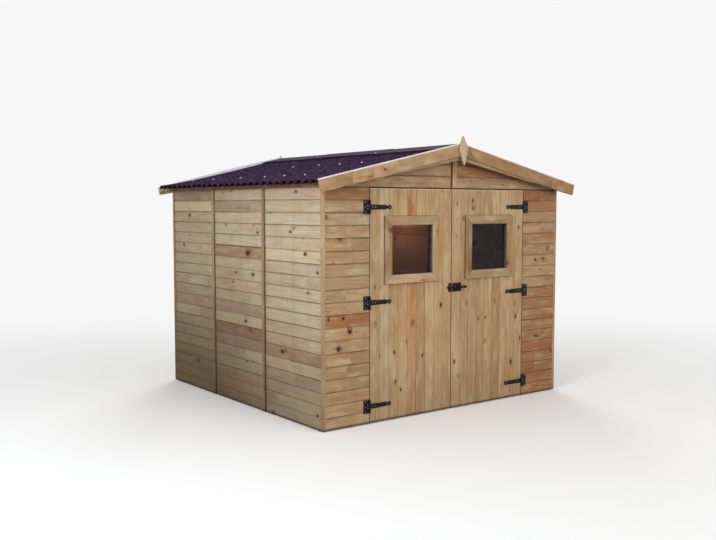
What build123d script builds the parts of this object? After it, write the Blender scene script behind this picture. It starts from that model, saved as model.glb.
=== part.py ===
"""A timber garden shed with a corrugated roof, a pair of hinged doors and a window in each door.

Origin: centre of the footprint, on the ground. +X to the right seen from the doors,
+Y away from the doors, +Z up. Millimetres.
"""

from build123d import *
import math
import os

os.makedirs("parts", exist_ok=True)

SIDES = (("left", -1), ("right", 1))
ENDS = ("front", "rear")

# Walls
HALF_WIDTH = 2475.0 / 2        # to the outer face of the side cladding
HALF_DEPTH = 2400.0 / 2        # to the outer face of the front and rear cladding
CLADDING = 12.0                # board thickness
CLADDING_BOTTOM = 7.0
WALL_TOP = 1751.0
GABLE_BOTTOM = 1755.0
STUD_WIDTH = 44.0              # along the wall
STUD_DEPTH = 28.0              # through the wall
FRAME_HALF_WIDTH = HALF_WIDTH - CLADDING
FRAME_HALF_DEPTH = HALF_DEPTH - CLADDING
INNER_HALF_WIDTH = FRAME_HALF_WIDTH - STUD_DEPTH
INNER_HALF_DEPTH = FRAME_HALF_DEPTH - STUD_DEPTH
MIDDLE_RAIL = 880.0            # underside of the middle rails

# Joints between wall panels, each with a gap that a batten half covers
WALL_JOINTS = (-415.0, 402.0)  # front edge of each cover batten along the wall
JOINT_GAP = (-16.0, 4.0)       # the gap's limits, from that edge
STUD_SLIT = (-6.0, -2.0)       # the slit between the two studs behind the gap
BATTEN_WIDTH = 32.0
BATTEN_THICKNESS = 9.0
GABLE_BATTEN_WIDTH = 46.0

# Corner trims
TRIM_LEG = 24.0
TRIM_PROUD = 2.0

# Doors
LEAF_GAP = 3.0                 # from the centre line to each leaf
LEAF_WIDTH = 812.0
LEAF_EDGE = LEAF_GAP + LEAF_WIDTH
LEAF_BOTTOM = 12.0
LEAF_TOP = 1744.0
OPENING_EDGE = LEAF_EDGE + 6.0
HEADER_BOTTOM = 1750.0
LEDGE_WIDTH = 95.0
LEDGE_DEPTH = 28.0
LEDGE_INSET = 12.0             # from the leaf's edges to the ledges' ends
SOLID_GAP = 1.0                # between timbers that share a node
SILL_SETBACK = 10.0
SILL_HEIGHT = 28.0

# Windows
WINDOW_CENTRE = 412.0          # from the centre line
WINDOW_WIDTH = 405.0
WINDOW_BOTTOM = 1099.0
WINDOW_TOP = 1473.0
CASING_WIDTH = 65.0
CASING_THICKNESS = 16.0
PANE_LAP = 12.0
PANE_THICKNESS = 3.0

# Hinges
HINGE_HEIGHTS = (132.0, 904.0, 1606.0)
PIN_X = 818.0                  # from the centre line
PIN_STANDOFF = 7.0             # from the door's face
PIN_RADIUS = 3.0
KNUCKLE_RADIUS = 6.0
KNUCKLE_BORE = 3.3
HINGE_PLATE = 2.5
FLANGE_HEIGHT = 101.0
FLANGE_EDGE = 875.0
FLANGE_CORNER = 5.0
FLANGE_GAP = 1.5               # from the strap's knuckle to the flange's plate
STRAP_KNUCKLE = 34.0
STRAP_ROOT = 38.0              # strap's height beside the knuckle
STRAP_TIP = 33.0               # strap's height before its neck
STRAP_NECK = 19.0
STRAP_NECK_LENGTH = 8.0
STRAP_END = 612.0              # from the centre line
STRAP_DISC = 18.0

# Bolt
BOLT_HEIGHT = 973.0
BOLT_RADIUS = 7.0
BOLT_PLATE = (9.0, 105.0)      # its limits from the centre line
BOLT_PLATE_HEIGHT = 70.0
BOLT_ROD = (5.0, 150.0)
BOLT_KNOB = (126.0, 152.0)
BOLT_KNOB_RADIUS = 10.5
BOLT_CHAMFER = 2.0
KEEPER_PLATE = (-32.0, -4.0)
KEEPER_TUBE = (-45.0, -4.0)
STAPLE_WIDTH = 15.0
STAPLE_WALL = 3.0
STAPLES = (22.0, 57.0, 92.0)

# Roof
ROOF_SLOPE = 0.2204            # rise over run
ROOF_ANGLE = math.atan(ROOF_SLOPE)
EAVE_OVERHANG = 88.0
EAVE_X = HALF_WIDTH + EAVE_OVERHANG
EAVE_UNDERSIDE = 1768.0
VERGE_OVERHANG = 88.0
SHEET_LENGTH = 2 * (HALF_DEPTH + VERGE_OVERHANG)
CORRUGATIONS = 27              # whole waves along the shed, from valley to valley
CORRUGATION_RISE = 29.0
CORRUGATION_FACETS = 10        # flats in one wave
SHEET_THICKNESS = 3.0
RIDGE_GAP = 20.0               # from the centre line to each sheet
CAP_HALF_WIDTH = 230.0
CAP_THICKNESS = 3.0
CAP_RADIUS = 60.0
CAP_CLEARANCE = 0.3
PURLIN_WIDTH = 38.0
PURLIN_DEPTH = 63.0
PURLIN_X = 620.0
RIDGE_BEAM_DEPTH = 90.0
RAFTER_DEPTH = 46.0

# Verges
VERGE_BATTEN = (1263.0, 1291.0)   # its faces, from the middle of the shed
VERGE_BATTEN_LOW = 1970.0         # its lower edge at the centre line
VERGE_BATTEN_SLOPE = 0.1935
VERGE_BATTEN_END = 1290.0
BARGE_THICKNESS = 20.0
BARGE_WIDTH = 95.0
BARGE_SLOPE = 0.2225
BARGE_APEX = {"front": 2098.0, "rear": 2106.0}
BARGE_END = 1339.0
FINIAL_THICKNESS = 17.0
FINIAL_TOP = {"front": 2150.0, "rear": 2120.0}
FINIAL_LEAN = {"front": 3.0, "rear": 0.0}     # degrees, with its foot swung to the right
FINIAL_HEIGHT = 225.0
FINIAL_SHOULDER = 98.0         # from its tip down to its widest
FINIAL_WIDTH = 94.0


def underside(x):
    """Height of the roof sheets' underside at a distance from the centre line."""
    return EAVE_UNDERSIDE + ROOF_SLOPE * (EAVE_X - abs(x))


def timber(*limits):
    """A square-sawn timber, from its pair of limits along each axis."""
    with Locations(tuple(sum(pair) / 2 for pair in limits)):
        Box(*(abs(pair[1] - pair[0]) for pair in limits))


def end_plane(end, inner, thickness):
    """The plane for a profile whose slab runs from inner out to inner + thickness at one end."""
    return Plane.XZ.offset(inner if end == "front" else -inner - thickness)


def end_limits(end, inner, outer):
    """Limits along Y of a timber at one end, from its distances to the middle of the shed."""
    sign = -1 if end == "front" else 1
    return (sign * inner, sign * outer)


def panel_spans(half_length):
    """Limits of the cladding panels along a three-bay wall."""
    starts = [-half_length] + [joint + JOINT_GAP[1] for joint in WALL_JOINTS]
    stops = [joint + JOINT_GAP[0] for joint in WALL_JOINTS] + [half_length]
    return list(zip(starts, stops))


def stud_spans(half_length):
    """Limits of the two studs of each bay along a three-bay wall."""
    starts = [-half_length] + [joint + STUD_SLIT[1] for joint in WALL_JOINTS]
    stops = [joint + STUD_SLIT[0] for joint in WALL_JOINTS] + [half_length]
    spans = []
    for start, stop in zip(starts, stops):
        spans.append((start, start + STUD_WIDTH))
        spans.append((stop - STUD_WIDTH, stop))
    return spans


def rail_spans(half_length):
    """Limits of the rails between the studs of each bay."""
    studs = stud_spans(half_length)
    return [(studs[i][1], studs[i + 1][0]) for i in range(0, len(studs), 2)]


RAIL_HEIGHTS = (
    (0.0, STUD_WIDTH),
    (MIDDLE_RAIL, MIDDLE_RAIL + STUD_WIDTH),
    (WALL_TOP - STUD_WIDTH, WALL_TOP),
)

# ---------------------------------------------------------------- side walls
for side, s in SIDES:
    outer = (s * FRAME_HALF_WIDTH, s * HALF_WIDTH)
    inner = (s * INNER_HALF_WIDTH, s * FRAME_HALF_WIDTH)

    with BuildPart() as cladding:
        for span in panel_spans(HALF_DEPTH + TRIM_PROUD - TRIM_LEG):
            timber(outer, span, (CLADDING_BOTTOM, WALL_TOP))
    cladding.part.label = f"{side}_wall_cladding"
    export_step(cladding.part, f"parts/{side}_wall_cladding.step")

    with BuildPart() as studs:
        for span in stud_spans(FRAME_HALF_DEPTH):
            timber(inner, span, (0, WALL_TOP))
    studs.part.label = f"{side}_wall_studs"
    export_step(studs.part, f"parts/{side}_wall_studs.step")

    with BuildPart() as rails:
        for span in rail_spans(FRAME_HALF_DEPTH):
            for heights in RAIL_HEIGHTS:
                timber(inner, span, heights)
    rails.part.label = f"{side}_wall_rails"
    export_step(rails.part, f"parts/{side}_wall_rails.step")

# ---------------------------------------------------------------- rear wall
REAR_FRAME = (INNER_HALF_DEPTH, FRAME_HALF_DEPTH)

with BuildPart() as rear_cladding:
    for span in panel_spans(HALF_WIDTH + TRIM_PROUD - TRIM_LEG):
        timber(span, (FRAME_HALF_DEPTH, HALF_DEPTH), (CLADDING_BOTTOM, WALL_TOP))
rear_cladding.part.label = "rear_wall_cladding"
export_step(rear_cladding.part, "parts/rear_wall_cladding.step")

with BuildPart() as rear_studs:
    for span in stud_spans(INNER_HALF_WIDTH):
        timber(span, REAR_FRAME, (0, HEADER_BOTTOM))
rear_studs.part.label = "rear_wall_studs"
export_step(rear_studs.part, "parts/rear_wall_studs.step")

with BuildPart() as rear_rails:
    for span in rail_spans(INNER_HALF_WIDTH):
        for heights in RAIL_HEIGHTS[:2]:
            timber(span, REAR_FRAME, heights)
    timber(
        (-INNER_HALF_WIDTH, INNER_HALF_WIDTH),
        REAR_FRAME,
        (HEADER_BOTTOM, HEADER_BOTTOM + STUD_WIDTH),
    )
rear_rails.part.label = "rear_wall_rails"
export_step(rear_rails.part, "parts/rear_wall_rails.step")

# ---------------------------------------------------------------- front wall
FRONT_FRAME = (-FRAME_HALF_DEPTH, -INNER_HALF_DEPTH)
POST_OUTER = OPENING_EDGE + STUD_WIDTH
CORNER_POST = INNER_HALF_WIDTH - STUD_WIDTH

for side, s in SIDES:
    with BuildPart() as front_panel:
        timber(
            (s * OPENING_EDGE, s * (HALF_WIDTH + TRIM_PROUD - TRIM_LEG)),
            (-HALF_DEPTH, -FRAME_HALF_DEPTH),
            (CLADDING_BOTTOM, WALL_TOP),
        )
    front_panel.part.label = f"front_{side}_panel"
    export_step(front_panel.part, f"parts/front_{side}_panel.step")

with BuildPart() as front_posts:
    for side, s in SIDES:
        timber((s * OPENING_EDGE, s * POST_OUTER), FRONT_FRAME, (0, HEADER_BOTTOM))
        timber((s * CORNER_POST, s * INNER_HALF_WIDTH), FRONT_FRAME, (0, HEADER_BOTTOM))
front_posts.part.label = "front_wall_posts"
export_step(front_posts.part, "parts/front_wall_posts.step")

with BuildPart() as front_rails:
    for side, s in SIDES:
        for heights in RAIL_HEIGHTS[:2]:
            timber((s * POST_OUTER, s * CORNER_POST), FRONT_FRAME, heights)
    timber(
        (-INNER_HALF_WIDTH, INNER_HALF_WIDTH),
        FRONT_FRAME,
        (HEADER_BOTTOM, HEADER_BOTTOM + STUD_WIDTH),
    )
    timber(
        (-OPENING_EDGE, OPENING_EDGE),
        (-FRAME_HALF_DEPTH + SILL_SETBACK, -INNER_HALF_DEPTH),
        (0, SILL_HEIGHT),
    )
front_rails.part.label = "front_wall_rails"
export_step(front_rails.part, "parts/front_wall_rails.step")

# ---------------------------------------------------------------- gables
GABLE_EDGE = INNER_HALF_WIDTH - SOLID_GAP
HEADER_TOP = HEADER_BOTTOM + STUD_WIDTH + SOLID_GAP


def sloped_profile(inner_x, outer_x, bottom):
    """A section that is level at the bottom and follows the roof sheets at the top."""
    Polygon(
        (inner_x, bottom),
        (outer_x, bottom),
        (outer_x, underside(outer_x)),
        (inner_x, underside(inner_x)),
        align=None,
    )


def purlin_notches():
    """Cut a profile clear of the ridge beam and the middle purlins."""
    width = PURLIN_WIDTH + 2 * SOLID_GAP
    for x in (-PURLIN_X, PURLIN_X):
        with Locations((x, underside(x) - PURLIN_DEPTH / 2)):
            Rectangle(width, PURLIN_DEPTH + 3 * PURLIN_WIDTH * ROOF_SLOPE, mode=Mode.SUBTRACT)
    with Locations((0, underside(0) - RIDGE_BEAM_DEPTH / 2)):
        Rectangle(width, RIDGE_BEAM_DEPTH + 2 * SOLID_GAP, mode=Mode.SUBTRACT)


for end in ENDS:
    with BuildPart() as gable:
        with BuildSketch(end_plane(end, FRAME_HALF_DEPTH, CLADDING)):
            sloped_profile(JOINT_GAP[0], -GABLE_EDGE, GABLE_BOTTOM)
            sloped_profile(JOINT_GAP[1], GABLE_EDGE, GABLE_BOTTOM)
            purlin_notches()
        extrude(amount=CLADDING)
    gable.part.label = f"{end}_gable"
    export_step(gable.part, f"parts/{end}_gable.step")

with BuildPart() as gable_frames:
    for end in ENDS:
        with BuildSketch(end_plane(end, INNER_HALF_DEPTH, STUD_DEPTH)):
            for s in (-1, 1):
                low_x = EAVE_X - (HEADER_TOP + RAFTER_DEPTH - EAVE_UNDERSIDE) / ROOF_SLOPE
                Polygon(
                    (s * GABLE_EDGE, HEADER_TOP),
                    (s * GABLE_EDGE, underside(GABLE_EDGE)),
                    (s * STUD_WIDTH / 2, underside(STUD_WIDTH / 2)),
                    (s * STUD_WIDTH / 2, underside(STUD_WIDTH / 2) - RAFTER_DEPTH),
                    (s * low_x, HEADER_TOP),
                    align=None,
                )
            purlin_notches()
            post_top = underside(0) - RIDGE_BEAM_DEPTH - SOLID_GAP
            with Locations((0, (HEADER_TOP + post_top) / 2)):
                Rectangle(STUD_WIDTH - 2 * SOLID_GAP, post_top - HEADER_TOP)
        extrude(amount=STUD_DEPTH)
gable_frames.part.label = "gable_frames"
export_step(gable_frames.part, "parts/gable_frames.step")

# ---------------------------------------------------------------- trims and battens
with BuildPart() as corner_trims:
    with BuildSketch(Plane.XY.offset(CLADDING_BOTTOM)):
        for sx in (-1, 1):
            for sy in (-1, 1):
                x_out = HALF_WIDTH + TRIM_PROUD
                y_out = HALF_DEPTH + TRIM_PROUD
                Polygon(
                    (sx * x_out, sy * y_out),
                    (sx * (x_out - TRIM_LEG), sy * y_out),
                    (sx * (x_out - TRIM_LEG), sy * FRAME_HALF_DEPTH),
                    (sx * FRAME_HALF_WIDTH, sy * FRAME_HALF_DEPTH),
                    (sx * FRAME_HALF_WIDTH, sy * (y_out - TRIM_LEG)),
                    (sx * x_out, sy * (y_out - TRIM_LEG)),
                    align=None,
                )
    extrude(amount=WALL_TOP - CLADDING_BOTTOM)
corner_trims.part.label = "corner_trims"
export_step(corner_trims.part, "parts/corner_trims.step")

with BuildPart() as cover_battens:
    for joint in WALL_JOINTS:
        along = (joint, joint + BATTEN_WIDTH)
        for s in (-1, 1):
            proud = (s * HALF_WIDTH, s * (HALF_WIDTH + BATTEN_THICKNESS))
            timber(proud, along, (CLADDING_BOTTOM, WALL_TOP))
        timber(along, (HALF_DEPTH, HALF_DEPTH + BATTEN_THICKNESS), (CLADDING_BOTTOM, WALL_TOP))
    for end in ENDS:
        timber(
            (0, GABLE_BATTEN_WIDTH),
            end_limits(end, HALF_DEPTH, HALF_DEPTH + BATTEN_THICKNESS),
            (GABLE_BOTTOM, underside(0) - RIDGE_BEAM_DEPTH),
        )
cover_battens.part.label = "cover_battens"
export_step(cover_battens.part, "parts/cover_battens.step")

# ---------------------------------------------------------------- roof timbers
PURLIN_END = VERGE_BATTEN[0]

with BuildPart() as eave_purlins:
    with BuildSketch(Plane.XZ):
        for s in (-1, 1):
            sloped_profile(s * INNER_HALF_WIDTH, s * (INNER_HALF_WIDTH + PURLIN_WIDTH), WALL_TOP)
    extrude(amount=PURLIN_END, both=True)
eave_purlins.part.label = "eave_purlins"
export_step(eave_purlins.part, "parts/eave_purlins.step")

with BuildPart() as middle_purlins:
    with BuildSketch(Plane.XZ):
        for s in (-1, 1):
            sloped_profile(
                s * (PURLIN_X - PURLIN_WIDTH / 2),
                s * (PURLIN_X + PURLIN_WIDTH / 2),
                underside(PURLIN_X) - PURLIN_DEPTH,
            )
    extrude(amount=PURLIN_END, both=True)
middle_purlins.part.label = "middle_purlins"
export_step(middle_purlins.part, "parts/middle_purlins.step")

with BuildPart() as ridge_beam:
    with BuildSketch(Plane.XZ):
        for s in (-1, 1):
            sloped_profile(0, s * PURLIN_WIDTH / 2, underside(0) - RIDGE_BEAM_DEPTH)
    extrude(amount=PURLIN_END, both=True)
ridge_beam.part.label = "ridge_beam"
export_step(ridge_beam.part, "parts/ridge_beam.step")

# ---------------------------------------------------------------- roof sheets
def corrugation(height):
    """Points along the wave, a cosine that starts and ends in a valley at the verges."""
    facets = CORRUGATIONS * CORRUGATION_FACETS
    points = []
    for i in range(facets + 1):
        along = SHEET_LENGTH * (i / facets - 1 / 2)
        turn = 2 * math.pi * i / CORRUGATION_FACETS
        points.append((along, height + CORRUGATION_RISE * (1 - math.cos(turn)) / 2))
    return points


for side, s in SIDES:
    eave = Plane(
        origin=(s * EAVE_X, 0, EAVE_UNDERSIDE),
        x_dir=(0, -s, 0),
        z_dir=(-s * math.cos(ROOF_ANGLE), 0, math.sin(ROOF_ANGLE)),
    )
    with BuildPart() as roof_sheet:
        with BuildSketch(eave):
            with BuildLine():
                under = Polyline(*corrugation(0))
                over = Polyline(*corrugation(SHEET_THICKNESS))
                Line(under @ 0, over @ 0)
                Line(under @ 1, over @ 1)
            make_face()
        extrude(amount=(EAVE_X - RIDGE_GAP) / math.cos(ROOF_ANGLE))
    roof_sheet.part.label = f"{side}_roof_sheet"
    export_step(roof_sheet.part, f"parts/{side}_roof_sheet.step")

CREST = (CORRUGATION_RISE + SHEET_THICKNESS) / math.cos(ROOF_ANGLE) + CAP_CLEARANCE


def cap_line(height):
    """The three corners of the ridge cap's section at a height above the crests."""
    edge = underside(CAP_HALF_WIDTH) + CREST + height
    apex = underside(0) + CREST + height
    return [(-CAP_HALF_WIDTH, edge), (0, apex), (CAP_HALF_WIDTH, edge)]


with BuildPart() as ridge_cap:
    with BuildSketch(Plane.XZ):
        with BuildLine():
            cap_under = FilletPolyline(*cap_line(0), radius=CAP_RADIUS)
            cap_over = FilletPolyline(*cap_line(CAP_THICKNESS), radius=CAP_RADIUS)
            Line(cap_under @ 0, cap_over @ 0)
            Line(cap_under @ 1, cap_over @ 1)
        make_face()
    extrude(amount=SHEET_LENGTH / 2, both=True)
ridge_cap.part.label = "ridge_cap"
export_step(ridge_cap.part, "parts/ridge_cap.step")

# ---------------------------------------------------------------- verges
with BuildPart() as verge_battens:
    for end in ENDS:
        thickness = VERGE_BATTEN[1] - VERGE_BATTEN[0]
        with BuildSketch(end_plane(end, VERGE_BATTEN[0], thickness)):
            for s in (-1, 1):
                Polygon(
                    (s * SOLID_GAP, underside(SOLID_GAP)),
                    (s * VERGE_BATTEN_END, underside(VERGE_BATTEN_END)),
                    (
                        s * VERGE_BATTEN_END,
                        VERGE_BATTEN_LOW - VERGE_BATTEN_SLOPE * VERGE_BATTEN_END,
                    ),
                    (s * SOLID_GAP, VERGE_BATTEN_LOW),
                    align=None,
                )
        extrude(amount=thickness)
verge_battens.part.label = "verge_battens"
export_step(verge_battens.part, "parts/verge_battens.step")

BARGE_ANGLE = math.atan(BARGE_SLOPE)
BARGE_INNER = VERGE_BATTEN[1]
FINIAL_INNER = BARGE_INNER + BARGE_THICKNESS

for end in ENDS:
    for side, s in SIDES:
        end_top = BARGE_APEX[end] - BARGE_SLOPE * BARGE_END
        with BuildPart() as bargeboard:
            with BuildSketch(end_plane(end, BARGE_INNER, BARGE_THICKNESS)):
                Polygon(
                    (0, BARGE_APEX[end]),
                    (s * BARGE_END, end_top),
                    (
                        s * (BARGE_END - BARGE_WIDTH * math.sin(BARGE_ANGLE)),
                        end_top - BARGE_WIDTH * math.cos(BARGE_ANGLE),
                    ),
                    (0, BARGE_APEX[end] - BARGE_WIDTH / math.cos(BARGE_ANGLE)),
                    align=None,
                )
            extrude(amount=BARGE_THICKNESS)
        bargeboard.part.label = f"{end}_{side}_bargeboard"
        export_step(bargeboard.part, f"parts/{end}_{side}_bargeboard.step")

    with BuildPart() as finial:
        with BuildSketch(end_plane(end, FINIAL_INNER, FINIAL_THICKNESS)):
            with Locations(Location((0, FINIAL_TOP[end]), FINIAL_LEAN[end])):
                Polygon(
                    (0, 0),
                    (FINIAL_WIDTH / 2, -FINIAL_SHOULDER),
                    (0, -FINIAL_HEIGHT),
                    (-FINIAL_WIDTH / 2, -FINIAL_SHOULDER),
                    align=None,
                )
        extrude(amount=FINIAL_THICKNESS)
    finial.part.label = f"{end}_finial"
    export_step(finial.part, f"parts/{end}_finial.step")

# ---------------------------------------------------------------- doors
LEAF_CENTRE = LEAF_GAP + LEAF_WIDTH / 2
LEAF_MIDDLE = (LEAF_BOTTOM + LEAF_TOP) / 2
WINDOW_MIDDLE = (WINDOW_BOTTOM + WINDOW_TOP) / 2
WINDOW_HEIGHT = WINDOW_TOP - WINDOW_BOTTOM
LEDGE_SPAN = (LEAF_GAP + LEDGE_INSET, LEAF_EDGE - LEDGE_INSET)
LEDGE_BACK = (-FRAME_HALF_DEPTH, -FRAME_HALF_DEPTH + LEDGE_DEPTH)

for side, s in SIDES:
    window = Location((s * WINDOW_CENTRE, WINDOW_MIDDLE))

    with BuildPart() as leaf:
        with BuildSketch(Plane.XZ.offset(FRAME_HALF_DEPTH)):
            with Locations((s * LEAF_CENTRE, LEAF_MIDDLE)):
                Rectangle(LEAF_WIDTH, LEAF_TOP - LEAF_BOTTOM)
            with Locations(window):
                Rectangle(WINDOW_WIDTH, WINDOW_HEIGHT, mode=Mode.SUBTRACT)
        extrude(amount=CLADDING)
    leaf.part.label = f"{side}_door_leaf"
    export_step(leaf.part, f"parts/{side}_door_leaf.step")

    with BuildPart() as ledges:
        span = (s * LEDGE_SPAN[0], s * LEDGE_SPAN[1])
        for height in HINGE_HEIGHTS:
            timber(span, LEDGE_BACK, (height - LEDGE_WIDTH / 2, height + LEDGE_WIDTH / 2))
        stile_heights = (
            HINGE_HEIGHTS[1] + LEDGE_WIDTH / 2 + SOLID_GAP,
            HINGE_HEIGHTS[2] - LEDGE_WIDTH / 2 - SOLID_GAP,
        )
        reach = WINDOW_WIDTH / 2 + PANE_LAP + SOLID_GAP
        for x in (WINDOW_CENTRE - reach - STUD_WIDTH, WINDOW_CENTRE + reach):
            timber((s * x, s * (x + STUD_WIDTH)), LEDGE_BACK, stile_heights)
        brace_low = HINGE_HEIGHTS[0] + LEDGE_WIDTH / 2 + SOLID_GAP
        brace_high = HINGE_HEIGHTS[1] - LEDGE_WIDTH / 2 - SOLID_GAP
        with BuildSketch(Plane.XZ.offset(FRAME_HALF_DEPTH - LEDGE_DEPTH)):
            Polygon(
                (s * LEDGE_SPAN[1], brace_low),
                (s * (LEDGE_SPAN[1] - LEDGE_WIDTH), brace_low),
                (s * LEDGE_SPAN[0], brace_high),
                (s * (LEDGE_SPAN[0] + LEDGE_WIDTH), brace_high),
                align=None,
            )
        extrude(amount=LEDGE_DEPTH)
    ledges.part.label = f"{side}_door_ledges"
    export_step(ledges.part, f"parts/{side}_door_ledges.step")

    with BuildPart() as casing:
        with BuildSketch(Plane.XZ.offset(HALF_DEPTH)):
            with Locations(window):
                Rectangle(WINDOW_WIDTH + 2 * CASING_WIDTH, WINDOW_HEIGHT + 2 * CASING_WIDTH)
                Rectangle(WINDOW_WIDTH, WINDOW_HEIGHT, mode=Mode.SUBTRACT)
        extrude(amount=CASING_THICKNESS)
    casing.part.label = f"{side}_window_casing"
    export_step(casing.part, f"parts/{side}_window_casing.step")

    with BuildPart() as pane:
        with BuildSketch(Plane.XZ.offset(FRAME_HALF_DEPTH - PANE_THICKNESS)):
            with Locations(window):
                Rectangle(WINDOW_WIDTH + 2 * PANE_LAP, WINDOW_HEIGHT + 2 * PANE_LAP)
        extrude(amount=PANE_THICKNESS)
    pane.part.label = f"{side}_window_pane"
    export_step(pane.part, f"parts/{side}_window_pane.step")

# ---------------------------------------------------------------- hinges
PIN_Y = -(HALF_DEPTH + PIN_STANDOFF)
FLANGE_PLATE_X = PIN_X + KNUCKLE_RADIUS + FLANGE_GAP
FLANGE_KNUCKLE = (FLANGE_HEIGHT - STRAP_KNUCKLE) / 2 - 1

for side, s in SIDES:
    with BuildPart() as straps:
        for height in HINGE_HEIGHTS:
            disc_x = STRAP_END + STRAP_DISC
            neck_x = disc_x + STRAP_DISC + STRAP_NECK_LENGTH
            with BuildSketch(Plane.XZ.offset(HALF_DEPTH)):
                Polygon(
                    (s * PIN_X, height + STRAP_KNUCKLE / 2),
                    (s * (PIN_X - KNUCKLE_RADIUS), height + STRAP_KNUCKLE / 2),
                    (s * (PIN_X - 2 * KNUCKLE_RADIUS), height + STRAP_ROOT / 2),
                    (s * neck_x, height + STRAP_TIP / 2),
                    (s * neck_x, height - STRAP_TIP / 2),
                    (s * (PIN_X - 2 * KNUCKLE_RADIUS), height - STRAP_ROOT / 2),
                    (s * (PIN_X - KNUCKLE_RADIUS), height - STRAP_KNUCKLE / 2),
                    (s * PIN_X, height - STRAP_KNUCKLE / 2),
                    align=None,
                )
                with Locations((s * (disc_x + neck_x) / 2, height)):
                    Rectangle(neck_x - disc_x, STRAP_NECK)
                with Locations((s * disc_x, height)):
                    Circle(STRAP_DISC)
            extrude(amount=HINGE_PLATE)
            with Locations((s * PIN_X, PIN_Y, height)):
                Cylinder(KNUCKLE_RADIUS, STRAP_KNUCKLE)
                Cylinder(KNUCKLE_BORE, STRAP_KNUCKLE, mode=Mode.SUBTRACT)
    straps.part.label = f"{side}_hinge_straps"
    export_step(straps.part, f"parts/{side}_hinge_straps.step")

with BuildPart() as flanges:
    for side, s in SIDES:
        for height in HINGE_HEIGHTS:
            with BuildSketch(Plane.XZ.offset(HALF_DEPTH)) as plate:
                with Locations((s * (FLANGE_PLATE_X + FLANGE_EDGE) / 2, height)):
                    Rectangle(FLANGE_EDGE - FLANGE_PLATE_X, FLANGE_HEIGHT)
                outer_corners = plate.vertices().sort_by(Axis.X, reverse=s > 0)[:2]
                fillet(outer_corners, FLANGE_CORNER)
                for up in (-1, 1):
                    tongue = up * (FLANGE_HEIGHT - FLANGE_KNUCKLE) / 2
                    with Locations((s * (PIN_X + FLANGE_PLATE_X) / 2, height + tongue)):
                        Rectangle(FLANGE_PLATE_X - PIN_X, FLANGE_KNUCKLE)
            extrude(amount=HINGE_PLATE)
            with Locations((s * PIN_X, PIN_Y, height)):
                Cylinder(PIN_RADIUS, FLANGE_HEIGHT)
            for up in (-1, 1):
                knuckle = height + up * (FLANGE_HEIGHT - FLANGE_KNUCKLE) / 2
                with Locations((s * PIN_X, PIN_Y, knuckle)):
                    Cylinder(KNUCKLE_RADIUS, FLANGE_KNUCKLE)
flanges.part.label = "hinge_flanges"
export_step(flanges.part, "parts/hinge_flanges.step")

# ---------------------------------------------------------------- bolt
PLATE_FACE = HALF_DEPTH + HINGE_PLATE
STAPLE_REACH = BOLT_RADIUS + 1 + STAPLE_WALL
ROD_Y = -(PLATE_FACE + STAPLE_REACH - 1)

with BuildPart() as bolt_plate:
    timber(
        BOLT_PLATE,
        (-HALF_DEPTH, -PLATE_FACE),
        (BOLT_HEIGHT - BOLT_PLATE_HEIGHT / 2, BOLT_HEIGHT + BOLT_PLATE_HEIGHT / 2),
    )
    for x in STAPLES:
        with BuildSketch(Plane.YZ.offset(x - STAPLE_WIDTH / 2)):
            with Locations((ROD_Y, BOLT_HEIGHT)):
                Circle(STAPLE_REACH)
            with Locations(((ROD_Y - PLATE_FACE) / 2, BOLT_HEIGHT)):
                Rectangle(abs(ROD_Y) - PLATE_FACE, 2 * STAPLE_REACH)
            with Locations((ROD_Y, BOLT_HEIGHT)):
                Circle(STAPLE_REACH - STAPLE_WALL, mode=Mode.SUBTRACT)
        extrude(amount=STAPLE_WIDTH)
bolt_plate.part.label = "bolt_plate"
export_step(bolt_plate.part, "parts/bolt_plate.step")

with BuildPart() as bolt_rod:
    with BuildSketch(Plane.YZ.offset(BOLT_ROD[0])):
        with Locations((ROD_Y, BOLT_HEIGHT)):
            Circle(BOLT_RADIUS)
    extrude(amount=BOLT_ROD[1] - BOLT_ROD[0])
    chamfer(bolt_rod.edges().group_by(Axis.X)[0], BOLT_CHAMFER)
    with BuildSketch(Plane.YZ.offset(BOLT_KNOB[0])):
        with Locations((ROD_Y, BOLT_HEIGHT)):
            Circle(BOLT_KNOB_RADIUS)
    extrude(amount=BOLT_KNOB[1] - BOLT_KNOB[0])
    rims = bolt_rod.edges().filter_by(GeomType.CIRCLE).sort_by(SortBy.RADIUS)[-2:]
    chamfer(rims, BOLT_CHAMFER)
bolt_rod.part.label = "bolt_rod"
export_step(bolt_rod.part, "parts/bolt_rod.step")

with BuildPart() as bolt_keeper:
    timber(
        KEEPER_PLATE,
        (-HALF_DEPTH, -PLATE_FACE),
        (BOLT_HEIGHT - BOLT_PLATE_HEIGHT / 2, BOLT_HEIGHT + BOLT_PLATE_HEIGHT / 2),
    )
    with BuildSketch(Plane.YZ.offset(KEEPER_TUBE[0])):
        with Locations((ROD_Y, BOLT_HEIGHT)):
            Circle(STAPLE_REACH)
            Circle(STAPLE_REACH - STAPLE_WALL, mode=Mode.SUBTRACT)
    extrude(amount=KEEPER_TUBE[1] - KEEPER_TUBE[0])
bolt_keeper.part.label = "bolt_keeper"
export_step(bolt_keeper.part, "parts/bolt_keeper.step")
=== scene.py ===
"""Looks of a timber garden shed: its boards, timbers, roof, fittings, panes, stage and light.

Everything is in metres in the shed's own frame: origin at the middle of its footprint,
+X to the right seen from the doors, +Y away from the doors, +Z up.
"""

import math
import random

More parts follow.
